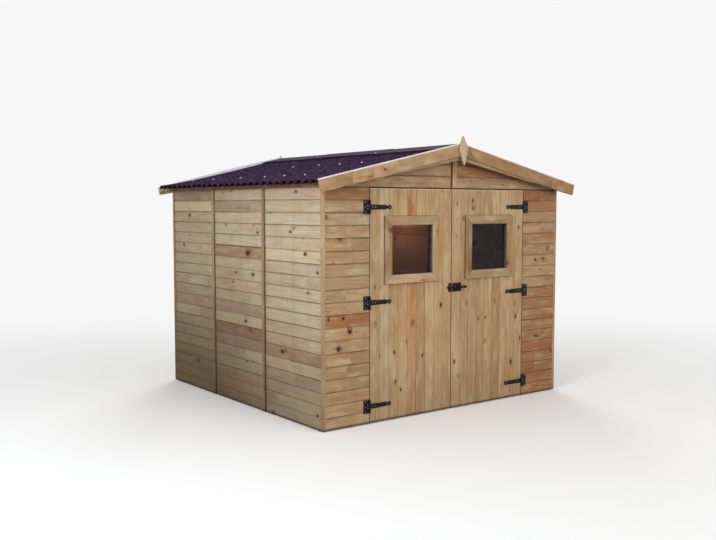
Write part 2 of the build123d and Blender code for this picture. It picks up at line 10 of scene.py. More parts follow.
import bmesh
import bpy
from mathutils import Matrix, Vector


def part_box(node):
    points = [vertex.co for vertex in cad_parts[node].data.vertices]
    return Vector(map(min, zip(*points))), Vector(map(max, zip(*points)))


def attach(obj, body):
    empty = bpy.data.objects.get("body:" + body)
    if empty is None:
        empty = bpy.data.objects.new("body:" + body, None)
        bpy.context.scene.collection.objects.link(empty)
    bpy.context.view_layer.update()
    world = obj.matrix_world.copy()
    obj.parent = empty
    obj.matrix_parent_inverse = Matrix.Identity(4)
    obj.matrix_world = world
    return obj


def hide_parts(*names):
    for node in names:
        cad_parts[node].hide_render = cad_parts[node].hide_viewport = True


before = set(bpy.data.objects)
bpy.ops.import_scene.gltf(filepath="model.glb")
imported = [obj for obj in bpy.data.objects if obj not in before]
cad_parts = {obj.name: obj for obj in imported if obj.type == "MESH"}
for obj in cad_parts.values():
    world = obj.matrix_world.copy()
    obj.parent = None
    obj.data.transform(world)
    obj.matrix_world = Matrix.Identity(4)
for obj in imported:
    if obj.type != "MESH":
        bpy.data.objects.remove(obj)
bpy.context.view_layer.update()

draw = random.Random(23)

UP = Vector((0, 0, 1))
ENDS = ("front", "rear")
SIDES = ("left", "right")

# ---------------------------------------------------------------- sizes, in metres
# Shiplap boards
COURSE = 0.092                  # height that each board covers
COURSE_BOTTOM = 0.007           # underside of the lowest board
BOARD_THICKNESS = 0.012
TONGUE = 0.006                  # thickness of the tongue behind the board above
LAP = 0.008                     # height of the tongue
LIP = 0.0066                    # inner face of the lip that hangs over the tongue
HOLLOW_START = 0.0795           # where the hollow leaves the board's face
HOLLOW_KNEE = (0.0835, 0.0070)  # height and depth that the hollow's curve bends round
HOLLOW_STOP = COURSE - 0.0005   # where the hollow meets the tongue
HOLLOW_STEPS = 4
ARRIS = 0.0008
BOARD_TILT = 0.0008             # how far either end of a board may lie off level
LEAST_COURSE = 0.004            # a lower course than this is left out
FINGER_JOINTS = 0.42            # how often a board is jointed from shorter lengths
SHORTEST_LENGTH = 0.12
NAIL_INSET = 0.021              # from a board's end to its nails
NAIL_HEIGHTS = (0.027, 0.066)
NAIL_NUDGE = 0.004              # how far a nail may stray
NAIL_RADIUS = 0.0028
NAIL_RINGS = ((NAIL_RADIUS, 0.0), (NAIL_RADIUS, 0.0002), (NAIL_RADIUS * 0.7, 0.0004))
NAIL_SIDES = 8
SIDE_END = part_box("left_wall_cladding")[1].y
SIDE_FACE = 1.22                # the side walls' boards lie beyond this
TRIM_FACE = 1.23                # and their trims beyond this
# Some darker tints partly paint shade: the top course of the left wall's front bay and the gable's right
# half.
WALL_TINTS = {                  # warmth of some boards, by (bay, course)
    "left_wall": {
        (0, 3): 0.78, (0, 5): 0.87, (0, 6): 0.70, (0, 18): 0.78, (1, 5): 0.88, (1, 6): 0.94,
        (1, 8): 0.82, (1, 13): 0.91, (1, 14): 0.02, (1, 17): 0.84, (2, 18): 0.88,
    },
    "right_wall": {(0, 8): 0.93, (1, 3): 0.96, (2, 14): 0.90},
    "rear_wall": {(0, 12): 0.92, (1, 7): 0.96, (2, 2): 0.90},
    "front_left": {
        (0, 3): 0.58, (0, 8): 0.97, (0, 11): 0.36, (0, 14): 0.40, (0, 15): 0.55, (0, 16): 0.06,
        (0, 17): 0.30, (0, 18): 0.90,
    },
    "front_right": {
        (0, 2): 0.94, (0, 4): 0.97, (0, 10): 0.55, (0, 11): 0.18, (0, 12): 0.68, (0, 13): 0.72,
        (0, 14): 0.80, (0, 15): 0.50, (0, 16): 0.62, (0, 17): 0.78, (0, 18): 0.95,
    },
    "gable": {
        (0, 19): 0.28, (0, 20): 0.58, (0, 21): 0.90, (1, 19): 0.66, (1, 20): 0.93, (1, 21): 0.96,
    },
}

# Door boards
DOOR_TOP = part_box("left_door_leaf")[1].z
DOOR_BOARDS = 9
VEE = 0.0022                    # width of each board's share of a V joint
VEE_DEPTH = 0.0022
SLOT = 0.0005                   # half the slot at the bottom of a V joint
SLOT_DEPTH = 0.0055
DOOR_TINTS = {                  # warmth of each board, above the window and for the rest of it
    "left": ((0.30, 0.30), (0.05, 0.05), (0.35, 0.45), (0.22, 0.62), (0.93, 0.84), (0.20, 0.68),
             (0.32, 0.12), (0.45, 0.32), (0.60, 0.60)),
    "right": ((0.10, 0.20), (0.58, 0.58), (0.15, 0.40), (0.50, 0.62), (0.42, 0.44), (0.12, 0.72),
              (0.04, 0.50), (0.66, 0.66), (0.24, 0.24)),
}
DOOR_JOINT_DIRT_AND_SHADE = (0.05, 0.85)        # dirt and painted shade in the joints between a door's boards
LEDGE_LENGTH = 0.7              # the ledges are longer than this
LEDGE_HEIGHT = 0.2              # and lower than this
LEDGE_NAILS = (0.3, 0.7)        # shares of a ledge's height
PANE_LAP = 0.012                # the pane's lap behind the boards
MITRE_GAP = 0.0006
MITRE_DIRT = 0.55
CASING_ARRIS = 0.0022
CASING_SEAT = 0.9               # painted shadow where a casing lies on the boards
CASING_WARMTH = {               # of each board, anticlockwise from the lowest
    "left": (0.25, 0.46, 0.42, 0.74), "right": (0.56, 0.74, 0.44, 0.84),
}
BEAD_WIDTH = 0.004
BEAD_DEPTH = 0.020

# Framing and fittings
TIMBER_ARRIS = 0.0015
IRON_ARRIS = 0.0005
EAVE_WARMTH = (0.88, 1.0)       # of the purlins under the eaves, whose dark tones partly paint the shade there
TRIM_LOOKS = (                  # (trims, warmth, painted shadow where they lie on the boards)
    ("corner_trims", (0.48, 0.60), 0.0), ("cover_battens", (0.45, 0.60), 0.5),
    ("verge_battens", (0.40, 0.55), 0.0),
)
FINIAL_SEAT = 0.7
SEAT_SHARE = 0.3                # of a piece's depth, where painted shadow falls against the boards
FITTING_PLATE = 0.0025
FLANGE_SCREWS = ((0.30, 0.88), (0.30, 0.50), (0.30, 0.12), (0.62, 0.60), (0.62, 0.40))
STRAP_SCREWS = (0.085, 0.72, 0.84)
BOLT_SCREW_INSET = 0.007
KEEPER_SCREWS = (-0.026, -0.011)
SCREW_RINGS = (                 # (radius, height) up a screw head and down into its cross
    (0.0036, 0.0), (0.0035, 0.0006), (0.0027, 0.0010), (0.0012, 0.0010), (0.0007, 0.0002),
)
SCREW_CROSS = 3                 # the ring that has the cross's four lobes
SCREW_SIDES = 16

# Roof
ROOF_SLOPE = 0.2204
ROOF_ANGLE = math.atan(ROOF_SLOPE)
WAVES = 27                      # corrugations along the shed
WAVE_RISE = 0.029
SHEET_THICKNESS = 0.003
SHEET_STARTS = (0, 9, 18)       # the wave at which each sheet starts
SHEET_WAVES = 10                # corrugations in a whole sheet
SHEET_TRIM = 0.004              # how far a sheet may stop short of the eave
SHEET_SAG = 0.0008
SHEET_LIFT = SHEET_THICKNESS * 1.1   # of a sheet over the one that it laps
WAVE_STEPS = 14
SLOPE_STEPS = 10
UNDERSIDE_SHADE = 1.6           # the shade under a sheet, where a valley's is 1
PRESSED_WAVES = 3               # the rear waves that are nailed down flatter
PRESSED_SHARE = 0.62            # how much of their rise is lost at most
PRESSED_LEAN = 0.70             # under 1, and the flattest place lies nearer to the eave
PURLIN_CREASE = (0.530, 0.550, 0.585, 0.605)    # from the middle: where it starts, is full and ends
RIDGE_GAP = 0.020
CAP_HALF_WIDTH = 0.230
CAP_RADIUS = 0.060              # of its rounded top
CAP_STEPS = 6
CAP_SHADE = (0.110, 0.050)      # how far it shades the sheets, faintly and fully
CAP_THICKNESS = 0.003
CAP_LAP = 0.120
CAP_LIFTS = (0.0, CAP_THICKNESS * 1.05, 0.0)    # of its three lengths
CAP_NAIL_REACH = 0.195
NAIL_ROWS = ((1.145, (4, 7, 10, 14, 19, 23)), (0.695, (3, 6, 9, 13)))
CAP_NAIL_CRESTS = (8, 17)
NAIL_CAP_RINGS = (              # (radius, height) up a cap
    (0.0095, 0.0), (0.0095, 0.0016), (0.0080, 0.0046), (0.0046, 0.0070), (0.0012, 0.0078),
)
NAIL_CAP_SIDES = 14

# Verges. Heights are at the ridge
BARGE_SLOPE = 0.2225
BARGE_TOPS = [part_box(f"{end}_left_bargeboard")[1].z for end in ENDS]
REAR_BOARD_MIDDLE = sum(corner.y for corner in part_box("rear_left_bargeboard")) / 2
BARGE_FOOT = 2.0007             # lower edge of the front bargeboards
BARGE_ARRIS = 0.0020
BARGE_JOINTS = (0.38, 0.64, 0.86, 1.05, 1.20)   # from the middle of the shed
BARGE_WARMTH = {                # of each length
    "left": (0.56, 0.48, 0.36, 0.58, 0.80, 0.50), "right": (0.76, 0.80, 0.72, 0.78, 0.84, 0.76),
}
REAR_TAPER = (0.42, 0.022)      # where the rear ones start to taper, and by how much at the eave
BLEACHED_AND_LIT_STRIPS = (0.012, 0.080)  # how far down the front and rear ones are pale: sun bleaching and a painted highlight
BATTEN_FOOT = 1.970             # lower edge of the verge battens
BATTEN_SLOPE = 0.1935
BATTEN_PLACE = (1.277, 0.0135)  # their distance from the middle, give or take

# Stage, light and camera
FLOOR_RADIUS = 40
SURROUND = 0.93                 # how bright the backdrop looks
WORLD_LIGHT = 0.55              # how much light comes from all round
CAMERA_PLACE = (-4.7401, -6.2444, 1.6115)
CAMERA_TURN = (-4.247, -37.024) # degrees up from level, and round from +Y
CAMERA_LENS = (43.98, 36.0)     # focal length and sensor width, in millimetres
CAMERA_SHIFT = 0.0018

# Knots that stand out, and softer ones with swirled rings. The scattered ones are added to them.
# Each has a radius. Across is counted in bays from the front on the side walls, in shares of the
# panel on the front ones, and in boards on the doors. Up is counted in courses, or in shares of
# the door's height
FAR = 9.0                       # in radii, where a knot no longer shows
SIDE_BAYS = 3
SIDE_KNOTS = (
    (0.25, 13.7, 0.007), (0.05, 12.3, 0.005), (0.50, 15.4, 0.006), (0.40, 18.6, 0.006),
    (0.65, 5.5, 0.009), (1.30, 13.4, 0.012), (1.10, 15.2, 0.006), (1.20, 11.6, 0.007),
    (1.55, 11.6, 0.005), (1.35, 7.4, 0.008), (2.60, 16.6, 0.007), (2.75, 13.7, 0.006),
)
SIDE_SWIRLS = ((0.60, 5.6, 0.014), (1.25, 13.6, 0.014), (1.75, 15.8, 0.010))
PANEL_KNOTS = {
    "left": ((0.07, 8.7, 0.006), (0.40, 8.7, 0.006), (0.55, 7.6, 0.009), (0.30, 6.3, 0.010)),
    "right": ((0.40, 12.5, 0.006),),
}
PANEL_SWIRLS = {"left": ((0.55, 7.8, 0.015), (0.30, 6.4, 0.016)), "right": ((0.80, 13.5, 0.015),)}
DOOR_KNOTS = {
    "left": ((2.6, 0.29, 0.006), (2.7, 0.16, 0.006), (3.3, 0.12, 0.006), (5.7, 0.26, 0.005),
             (7.8, 0.48, 0.007)),
    "right": ((2.5, 0.95, 0.006), (8.4, 0.82, 0.006), (3.3, 0.40, 0.004), (4.2, 0.40, 0.005),
              (8.2, 0.39, 0.006), (8.8, 0.28, 0.006), (7.6, 0.17, 0.009), (0.4, 0.21, 0.006)),
}
DOOR_SWIRLS = {
    "left": ((0.5, 0.42, 0.015), (0.5, 0.58, 0.009), (4.6, 0.41, 0.014)),
    "right": ((1.4, 0.87, 0.013), (1.8, 0.48, 0.014), (4.2, 0.29, 0.009), (0.9, 0.14, 0.012)),
}


# ---------------------------------------------------------------- colours
def colour(red, green, blue):
    """A linear colour from the usual 0 to 255 values."""
    def linear(value):
        value /= 255
        return value / 12.92 if value <= 0.04045 else ((value + 0.055) / 1.055) ** 2.4
    return (linear(red), linear(green), linear(blue), 1.0)


# ---------------------------------------------------------------- shader trees
class Nodes:
    """A short way to add nodes to a shader tree."""

    def __init__(self, tree):
        self.tree = tree

    def add(self, kind, inputs=None, **settings):
        node = self.tree.nodes.new("ShaderNode" + kind)
        for key, value in settings.items():
            setattr(node, key, value)
        for key, value in (inputs or {}).items():
            self.feed(node.inputs[key], value)
        return node

    def feed(self, socket, value):
        if isinstance(value, bpy.types.NodeSocket):
            self.tree.links.new(value, socket)
        else:
            socket.default_value = value

    def math(self, operation, first, second=0.0, third=0.0, clamp=False):
        node = self.add("Math", {0: first, 1: second, 2: third}, operation=operation, use_clamp=clamp)
        return node.outputs[0]

    def vector(self, operation, first, second=(0, 0, 0)):
        return self.add("VectorMath", {0: first, 1: second}, operation=operation).outputs[0]

    def split(self, vector):
        return tuple(self.add("SeparateXYZ", {0: vector}).outputs)

    def join(self, x, y, z):
        return self.add("CombineXYZ", {0: x, 1: y, 2: z}).outputs[0]

    def noise(self, vector, scale, detail=2.0, roughness=0.5, distortion=0.0):
        inputs = {"Vector": vector, "Scale": scale, "Detail": detail,
                  "Roughness": roughness, "Distortion": distortion}
        return self.add("TexNoise", inputs).outputs["Fac"]

    def step(self, value, start, stop, low=0.0, high=1.0):
        """Goes smoothly from low to high as value goes from start to stop."""
        inputs = {"Value": value, "From Min": start, "From Max": stop, "To Min": low, "To Max": high}
        return self.add("MapRange", inputs, interpolation_type="SMOOTHSTEP").outputs["Result"]

    def mix(self, factor, first, second, blend="MIX"):
        node = self.add("Mix", data_type="RGBA", blend_type=blend)
        for index, value in ((0, factor), (6, first), (7, second)):
            self.feed(node.inputs[index], value)
        return node.outputs[2]

    def palette(self, value, stops):
        """Colours chosen by a number from 0 to 1, each from its own stop onwards."""
        node = self.add("ValToRGB", {0: value})
        ramp = node.color_ramp
        for stop in stops[1:]:
            ramp.elements.new(stop[0])
        while len(ramp.elements) > len(stops):
            ramp.elements.remove(ramp.elements[-1])
        for element, (position, shade) in zip(ramp.elements, stops):
            element.position = position
            element.color = shade
        return node.outputs[0]

    def group(self, group, inputs):
        node = self.add("Group")
        node.node_tree = group
        for key, value in inputs.items():
            self.feed(node.inputs[key], value)
        return node.outputs

    def attribute(self, name, output="Vector"):
        return self.add("Attribute", attribute_name=name).outputs[output]

    def coat(self, shader, tint, roughness, bump=None):
        """Feeds a shader its colour, its roughness and its bump's (strength, distance, height)."""
        self.feed(shader.inputs["Base Color"], tint)
        self.feed(shader.inputs["Roughness"], roughness)
        if bump:
            node = self.add("Bump", dict(zip(("Strength", "Distance", "Height"), bump)))
            self.feed(shader.inputs["Normal"], node.outputs["Normal"])

    def backdrop_rays(self, path):
        """1 for the rays that show the backdrop: the camera's, and those off gloss or through glass."""
        beyond = self.math("MAXIMUM", path["Is Glossy Ray"], path["Is Transmission Ray"])
        return self.math("MAXIMUM", path["Is Camera Ray"], beyond)


def shader_group(name, inputs, outputs):
    """An empty node group, with its inside: nodes, input sockets and output sockets."""
    group = bpy.data.node_groups.new(name, "ShaderNodeTree")
    kinds = {float: "NodeSocketFloat", tuple: "NodeSocketVector"}
    for label, default in inputs:
        socket = group.interface.new_socket(label, in_out="INPUT", socket_type=kinds[type(default)])
        socket.default_value = default
    for label in outputs:
        group.interface.new_socket(label, in_out="OUTPUT", socket_type="NodeSocketFloat")
    enter = group.nodes.new("NodeGroupInput").outputs
    leave = group.nodes.new("NodeGroupOutput").inputs
    return group, Nodes(group), enter, leave


def knots_group():
    """Knots where branches cross a board: dark cores, darker rims and warm wood round them."""
    group, n, enter, leave = shader_group(
        "pine_knots",
        [("Place", (0.0, 0.0, 0.0)), ("Tone", (0.0, 0.0, 0.0)), ("Spacing", 0.12), ("Radius", 0.006),
         ("Amount", 0.5)],
        ["Core", "Rim", "Halo", "Speck"],
    )
    spacing, radius = enter["Spacing"], enter["Radius"]
    along, across = n.split(enter["Place"])[:2]
    first, second = n.split(enter["Tone"])[:2]
    spot = n.join(n.math("MULTIPLY_ADD", first, 61.0, n.math("DIVIDE", along, spacing)),
                  n.math("MULTIPLY_ADD", second, 83.0, n.math("DIVIDE", across, spacing)), 0.0)
    cells = n.add("TexVoronoi", {"Vector": spot, "Scale": 1.0, "Randomness": 0.85},
                  voronoi_dimensions="2D").outputs
    border = n.add("TexVoronoi", {"Vector": spot, "Scale": 1.0, "Randomness": 0.85},
                   voronoi_dimensions="2D", feature="DISTANCE_TO_EDGE").outputs["Distance"]
    luck, size, turn = n.split(cells["Color"])
    present = n.math("LESS_THAN", luck, enter["Amount"])
    size = n.math("MULTIPLY", radius, n.math("MULTIPLY_ADD", n.math("POWER", size, 3.0), 2.3, 0.5))
    off_along, off_across = n.split(n.vector("SUBTRACT", spot, cells["Position"]))[:2]
    wobble = n.noise(n.vector("MULTIPLY", spot, (9.0, 9.0, 0.0)), 1.0, 2.0)
    wobble = n.math("MULTIPLY", n.math("SUBTRACT", wobble, 0.5), 0.008)

    skew = n.math("MULTIPLY_ADD", turn, 0.9, -0.45)
    off_across = n.math("MULTIPLY_ADD", off_along, skew, off_across)

    def reach(stretch):
        flat = n.join(n.math("MULTIPLY", off_along, stretch), off_across, 0.0)
        length = n.add("VectorMath", {0: flat}, operation="LENGTH").outputs["Value"]
        return n.math("MULTIPLY_ADD", length, spacing, wobble)

    near, far = reach(0.8), reach(0.38)
    dark = n.math("MULTIPLY_ADD", n.math("FRACT", n.math("MULTIPLY", luck, 13.0)), 0.55, 0.45)
    core = n.step(near, n.math("MULTIPLY", size, 1.05), n.math("MULTIPLY", size, 0.75))
    rim = n.step(near, n.math("MULTIPLY", size, 1.7), n.math("MULTIPLY", size, 1.1))
    rim = n.math("SUBTRACT", rim, core)
    halo = n.step(far, n.math("MULTIPLY", size, 3.4), n.math("MULTIPLY", size, 0.8))
    whole = n.math("MULTIPLY", present, n.step(border, 0.02, 0.07))
    faded = n.math("MULTIPLY", present, n.step(border, 0.0, 0.30))
    n.feed(leave["Core"], n.math("MULTIPLY", n.math("MULTIPLY", core, dark), whole))
    n.feed(leave["Rim"], n.math("MULTIPLY", rim, whole))
    n.feed(leave["Halo"], n.math("MULTIPLY", halo, faded))
    pins = n.add("TexVoronoi", {"Vector": spot, "Scale": 2.3}, voronoi_dimensions="2D").outputs
    rare = n.math("LESS_THAN", n.split(pins["Color"])[0], 0.16)
    n.feed(leave["Speck"], n.math("MULTIPLY", n.step(pins["Distance"], 0.075, 0.035), rare))
    return group


def standing_knots_group():
    """Knots and swirled rings at chosen places, from the distances to them in radii."""
    group, n, enter, leave = shader_group(
        "standing_knots",
        [("Place", (0.0, 0.0, 0.0)), ("Knot Distance", FAR), ("Swirl Distance", FAR)],
        ["Core", "Rim", "Halo", "Swirl", "Heart"],
    )
    knot, swirl = enter["Knot Distance"], enter["Swirl Distance"]
    core = n.step(knot, 1.55, 1.0)
    n.feed(leave["Core"], core)
    n.feed(leave["Rim"], n.math("SUBTRACT", n.step(knot, 2.4, 1.3), core))
    n.feed(leave["Halo"], n.math("MAXIMUM", n.step(knot, 4.5, 1.0), n.step(swirl, 2.2, 0.8)))
    broken = n.step(n.noise(enter["Place"], 48.0, 2.0), 0.36, 0.58, 0.25, 1.0)
    ring = n.step(n.math("ABSOLUTE", n.math("SUBTRACT", swirl, 0.9)), 0.42, 0.06)
    n.feed(leave["Swirl"], n.math("MULTIPLY", ring, broken))
    n.feed(leave["Heart"], n.step(swirl, 0.55, 0.25))
    return group


def grain_group():
    """Growth rings, broad bands and fine fibres of a sawn board, solid through its thickness."""
    group, n, enter, leave = shader_group(
        "pine_grain",
        [("Place", (0.0, 0.0, 0.0)), ("Tone", (0.0, 0.0, 0.0)), ("Ring Spacing", 0.005),
         ("Halo", 0.0)],
        ["Rings", "Bands", "Fibre", "Warm", "Pale"],
    )
    along, across, depth = n.split(enter["Place"])
    first, second, third = n.split(enter["Tone"])
    seed_a = n.math("MULTIPLY", first, 71.0)
    seed_b = n.math("MULTIPLY", second, 53.0)
    wander = n.noise(n.join(n.math("MULTIPLY", along, 1.6), seed_a, seed_b), 1.0, 1.0)
    wander = n.math("MULTIPLY", n.math("SUBTRACT", wander, 0.5), 0.07)
    ripple = n.noise(n.join(n.math("MULTIPLY_ADD", along, 7.0, seed_a),
                            n.math("MULTIPLY", across, 34.0), seed_b), 1.0, 2.0)
    ripple = n.math("MULTIPLY", n.math("SUBTRACT", ripple, 0.5), 0.010)
    side = n.math("MULTIPLY_ADD", n.math("SUBTRACT", third, 0.5), 0.16, n.math("ADD", across, wander))
    below = n.math("ADD", n.math("MULTIPLY_ADD", second, 0.055, 0.014), depth)
    squares = n.math("ADD", n.math("MULTIPLY", side, side), n.math("MULTIPLY", below, below))
    radius = n.math("SQRT", squares)
    radius = n.math("ADD", radius, n.math("MULTIPLY_ADD", enter["Halo"], 0.010, ripple))
    turns = n.math("DIVIDE", radius, enter["Ring Spacing"])
    rings = n.math("MULTIPLY_ADD", n.math("SINE", n.math("MULTIPLY", turns, 2 * math.pi)), 0.5, 0.5)
    n.feed(leave["Rings"], n.math("POWER", rings, 1.7))
    bands = n.noise(n.join(n.math("MULTIPLY", radius, 95.0), n.math("MULTIPLY_ADD", along, 0.7, seed_a),
                           seed_b), 1.0, 3.0, 0.6)
    n.feed(leave["Bands"], n.step(bands, 0.30, 0.70))
    fibre = n.noise(n.join(n.math("MULTIPLY_ADD", along, 11.0, seed_a),
                           n.math("MULTIPLY", across, 330.0), n.math("MULTIPLY", depth, 330.0)), 1.0, 3.0)
    n.feed(leave["Fibre"], fibre)
    drift = n.join(n.math("MULTIPLY_ADD", along, 5.0, seed_b),
                   n.math("MULTIPLY_ADD", across, 18.0, seed_a), third)
    n.feed(leave["Warm"], n.step(n.noise(drift, 1.0, 3.0, 0.6), 0.46, 0.70))
    elsewhere = n.vector("ADD", drift, (19.0, 7.0, 3.0))
    n.feed(leave["Pale"], n.step(n.noise(elsewhere, 1.0, 2.0), 0.48, 0.70))
    return group


def weather_group():
    """Dirt splashed up from the ground, a painted shadow along the foot, blotches of damp, and runs from
    above.
    """
    group, n, enter, leave = shader_group(
        "weathering_and_base_shade",
        [("Place", (0.0, 0.0, 0.0)), ("Splash Height", 0.5), ("Blotch Size", 0.35)],
        ["Splash", "Base Shade", "Blotch", "Runs", "Bleach"],
    )
    height = n.split(enter["Place"])[2]
    ragged = n.noise(enter["Place"], 5.0, 4.0, 0.6)
    edge = n.math("MULTIPLY_ADD", n.math("SUBTRACT", ragged, 0.5), 0.5, height)
    n.feed(leave["Splash"], n.step(edge, enter["Splash Height"], 0.0))
    # painted shadow along the foot of the walls and doors
    n.feed(leave["Base Shade"], n.step(height, 0.030, 0.012))
    scaled = n.add("VectorMath", {0: enter["Place"], 3: n.math("DIVIDE", 1.0, enter["Blotch Size"])},
                   operation="SCALE").outputs[0]
    n.feed(leave["Blotch"], n.step(n.noise(scaled, 1.0, 4.0, 0.55), 0.42, 0.68))
    tall = n.vector("MULTIPLY", enter["Place"], (14.0, 14.0, 0.9))
    n.feed(leave["Runs"], n.step(n.noise(tall, 1.0, 3.0, 0.55), 0.5, 0.75))
    facing = n.split(n.add("NewGeometry").outputs["Normal"])[2]
    n.feed(leave["Bleach"], n.step(facing, 0.80, 0.97))
    return group


def dust_group():
    """Dust that settles on what faces up, and a fine speckle."""
    group, n, enter, leave = shader_group(
        "settled_dust",
        [("Place", (0.0, 0.0, 0.0)), ("Grain Size", 0.004)],
        ["Dust", "Speckle"],
    )
    facing = n.split(n.add("NewGeometry").outputs["Normal"])[2]
    broad = n.noise(enter["Place"], 3.2, 5.0, 0.62)
    n.feed(leave["Dust"], n.math("MULTIPLY", n.step(facing, 0.2, 1.0), n.step(broad, 0.36, 0.70)))
    scaled = n.add("VectorMath", {0: enter["Place"], 3: n.math("DIVIDE", 1.0, enter["Grain Size"])},
                   operation="SCALE").outputs[0]
    n.feed(leave["Speckle"], n.noise(scaled, 1.0, 2.0, 0.6))
    return group


KNOTS = knots_group()
STANDING_KNOTS = standing_knots_group()
GRAIN = grain_group()
WEATHERING_AND_BASE_SHADE = weather_group()
DUST = dust_group()


# ---------------------------------------------------------------- materials
def new_material(name, plain=None):
    """A material with its nodes, and its Principled shader with plain values for some inputs."""
    material = bpy.data.materials.new(name)
    material.use_nodes = True
    shader = material.node_tree.nodes["Principled BSDF"]
    for label, value in (plain or {}).items():
        shader.inputs[label].default_value = value
    return material, Nodes(material.node_tree), shader


def radii_away(n, rest, stretch, axis, marks):
    """Distance to the nearest of some marks, as a number of its radii."""
    nearest = FAR
    flat = n.vector("MULTIPLY", rest, stretch)
    for along, height, radius in marks:
        heart = [0.0, 0.0, height * stretch[2]]
        heart[axis] = along * stretch[axis]
        away = n.add("VectorMath", {0: flat, 1: heart}, operation="DISTANCE").outputs["Value"]
        nearest = n.math("MINIMUM", nearest, n.math("DIVIDE", away, radius))
    return nearest


def marks_on(node, axis, steps, marks, rise=None):
    """Place along, height and radius of marks counted in steps across a CAD node and rises up it."""
    low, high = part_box(node)
    size = high - low
    rise = rise or size.z
    return [(low[axis] + size[axis] / steps * along, low.z + height * rise, radius)
            for along, height, radius in marks]


def marks_on_both(node, steps, marks, rise=None):
    """Marks on the left and on the right one of a pair of CAD nodes."""
    return [mark for side in SIDES for mark in marks_on(node.format(side), 0, steps, marks[side], rise)]


def timber(name, stops, knots=(0.12, 0.0060, 0.5), rings=0.34, bands=0.40, warm=0.34, placed=None,
           splash=(0.5, 0.35), blotch=0.22, gap=colour(62, 38, 22), shade=None):
    """Softwood with its own run of board colours, knots, rings, stains, dark joints, painted shade and
    painted highlights.
    """
    material, n, shader = new_material(name, {"Specular IOR Level": 0.3})
    place, tone = n.attribute("grain_place"), n.attribute("board_tone")
    rest = n.add("TexCoord").outputs["Object"]
    knot = n.group(KNOTS, {"Place": place, "Tone": tone, "Spacing": knots[0], "Radius": knots[1],
                           "Amount": knots[2]})
    core, rim, halo = knot["Core"], knot["Rim"], knot["Halo"]
    swirl = heart = 0.0
    if placed:
        stretch, axis, knot_marks, swirl_marks = placed
        bends = n.add("TexNoise", {"Vector": rest, "Scale": 60.0, "Detail": 2.0}).outputs["Color"]
        bends = n.vector("SUBTRACT", bends, (0.5, 0.5, 0.5))
        bent = n.vector("ADD", rest, n.vector("MULTIPLY", bends, (0.016, 0.016, 0.016)))
        marked = n.group(STANDING_KNOTS, {
            "Place": rest,
            "Knot Distance": radii_away(n, bent, stretch, axis, knot_marks),
            "Swirl Distance": radii_away(n, bent, stretch, axis, swirl_marks),
        })
        core, rim, halo = (n.math("MAXIMUM", mask, marked[label])
                           for mask, label in ((core, "Core"), (rim, "Rim"), (halo, "Halo")))
        swirl, heart = marked["Swirl"], marked["Heart"]
    grain = n.group(GRAIN, {"Place": place, "Tone": tone, "Halo": halo})
    stains_and_base_shade = n.group(WEATHERING_AND_BASE_SHADE, {"Place": rest, "Splash Height": splash[0]})

    wood = n.palette(n.split(tone)[0], stops)
    value = n.math("MULTIPLY_ADD", n.split(tone)[1], 0.22, 0.90)
    wood = n.mix(1.0, wood, n.join(value, value, value), "MULTIPLY")
    for mask, amount, tint in (
        (grain["Bands"], bands, colour(218, 190, 158)), (grain["Rings"], rings, colour(214, 180, 142)),
        (grain["Warm"], warm, colour(228, 160, 100)), (stains_and_base_shade["Blotch"], blotch, colour(196, 160, 124)),
        (stains_and_base_shade["Runs"], blotch * 0.7, colour(200, 170, 138)), (halo, 0.50, colour(208, 146, 92)),
        (rim, 0.70, colour(148, 90, 56)), (swirl, 0.80, colour(134, 80, 48)),
        (heart, 0.62, colour(108, 66, 40)),
    ):
        wood = n.mix(n.math("MULTIPLY", mask, amount), wood, tint, "MULTIPLY")
    wood = n.mix(n.math("MULTIPLY", grain["Pale"], 0.26), wood, colour(208, 198, 164))
    wood = n.mix(n.step(grain["Fibre"], 0.35, 0.75, 0.0, 0.12), wood, colour(222, 204, 178))
    for mask, amount, tint in (
        (core, 0.96, colour(42, 24, 16)), (knot["Speck"], 0.62, colour(82, 50, 32)),
        # splashed dirt, and a painted shadow along the foot
        (stains_and_base_shade["Splash"], splash[1], colour(112, 92, 72)), (stains_and_base_shade["Base Shade"], 0.75, colour(70, 50, 36)),
    ):
        wood = n.mix(n.math("MULTIPLY", mask, amount), wood, tint)
    if shade:
        wood = shade(n, rest, wood)
    # lighter arrises are a painted highlight, partly wear; crevices take dirt, and painted shade in
    # joints and under pieces
    for mask, amount, tint in (
        (stains_and_base_shade["Bleach"], 0.55, colour(226, 216, 200)),
        (n.attribute("arris", "Fac"), 0.20, colour(206, 184, 150)),
        (n.attribute("crevice", "Fac"), 0.80, gap),
    ):
        wood = n.mix(n.math("MULTIPLY", mask, amount), wood, tint)
    height = n.math("MULTIPLY_ADD", grain["Rings"], 0.35, grain["Fibre"])
    height = n.math("MULTIPLY_ADD", core, -0.8, height)
    n.coat(shader, wood, n.step(grain["Fibre"], 0.2, 0.8, 0.62, 0.84), (0.35, 0.0012, height))
    return material


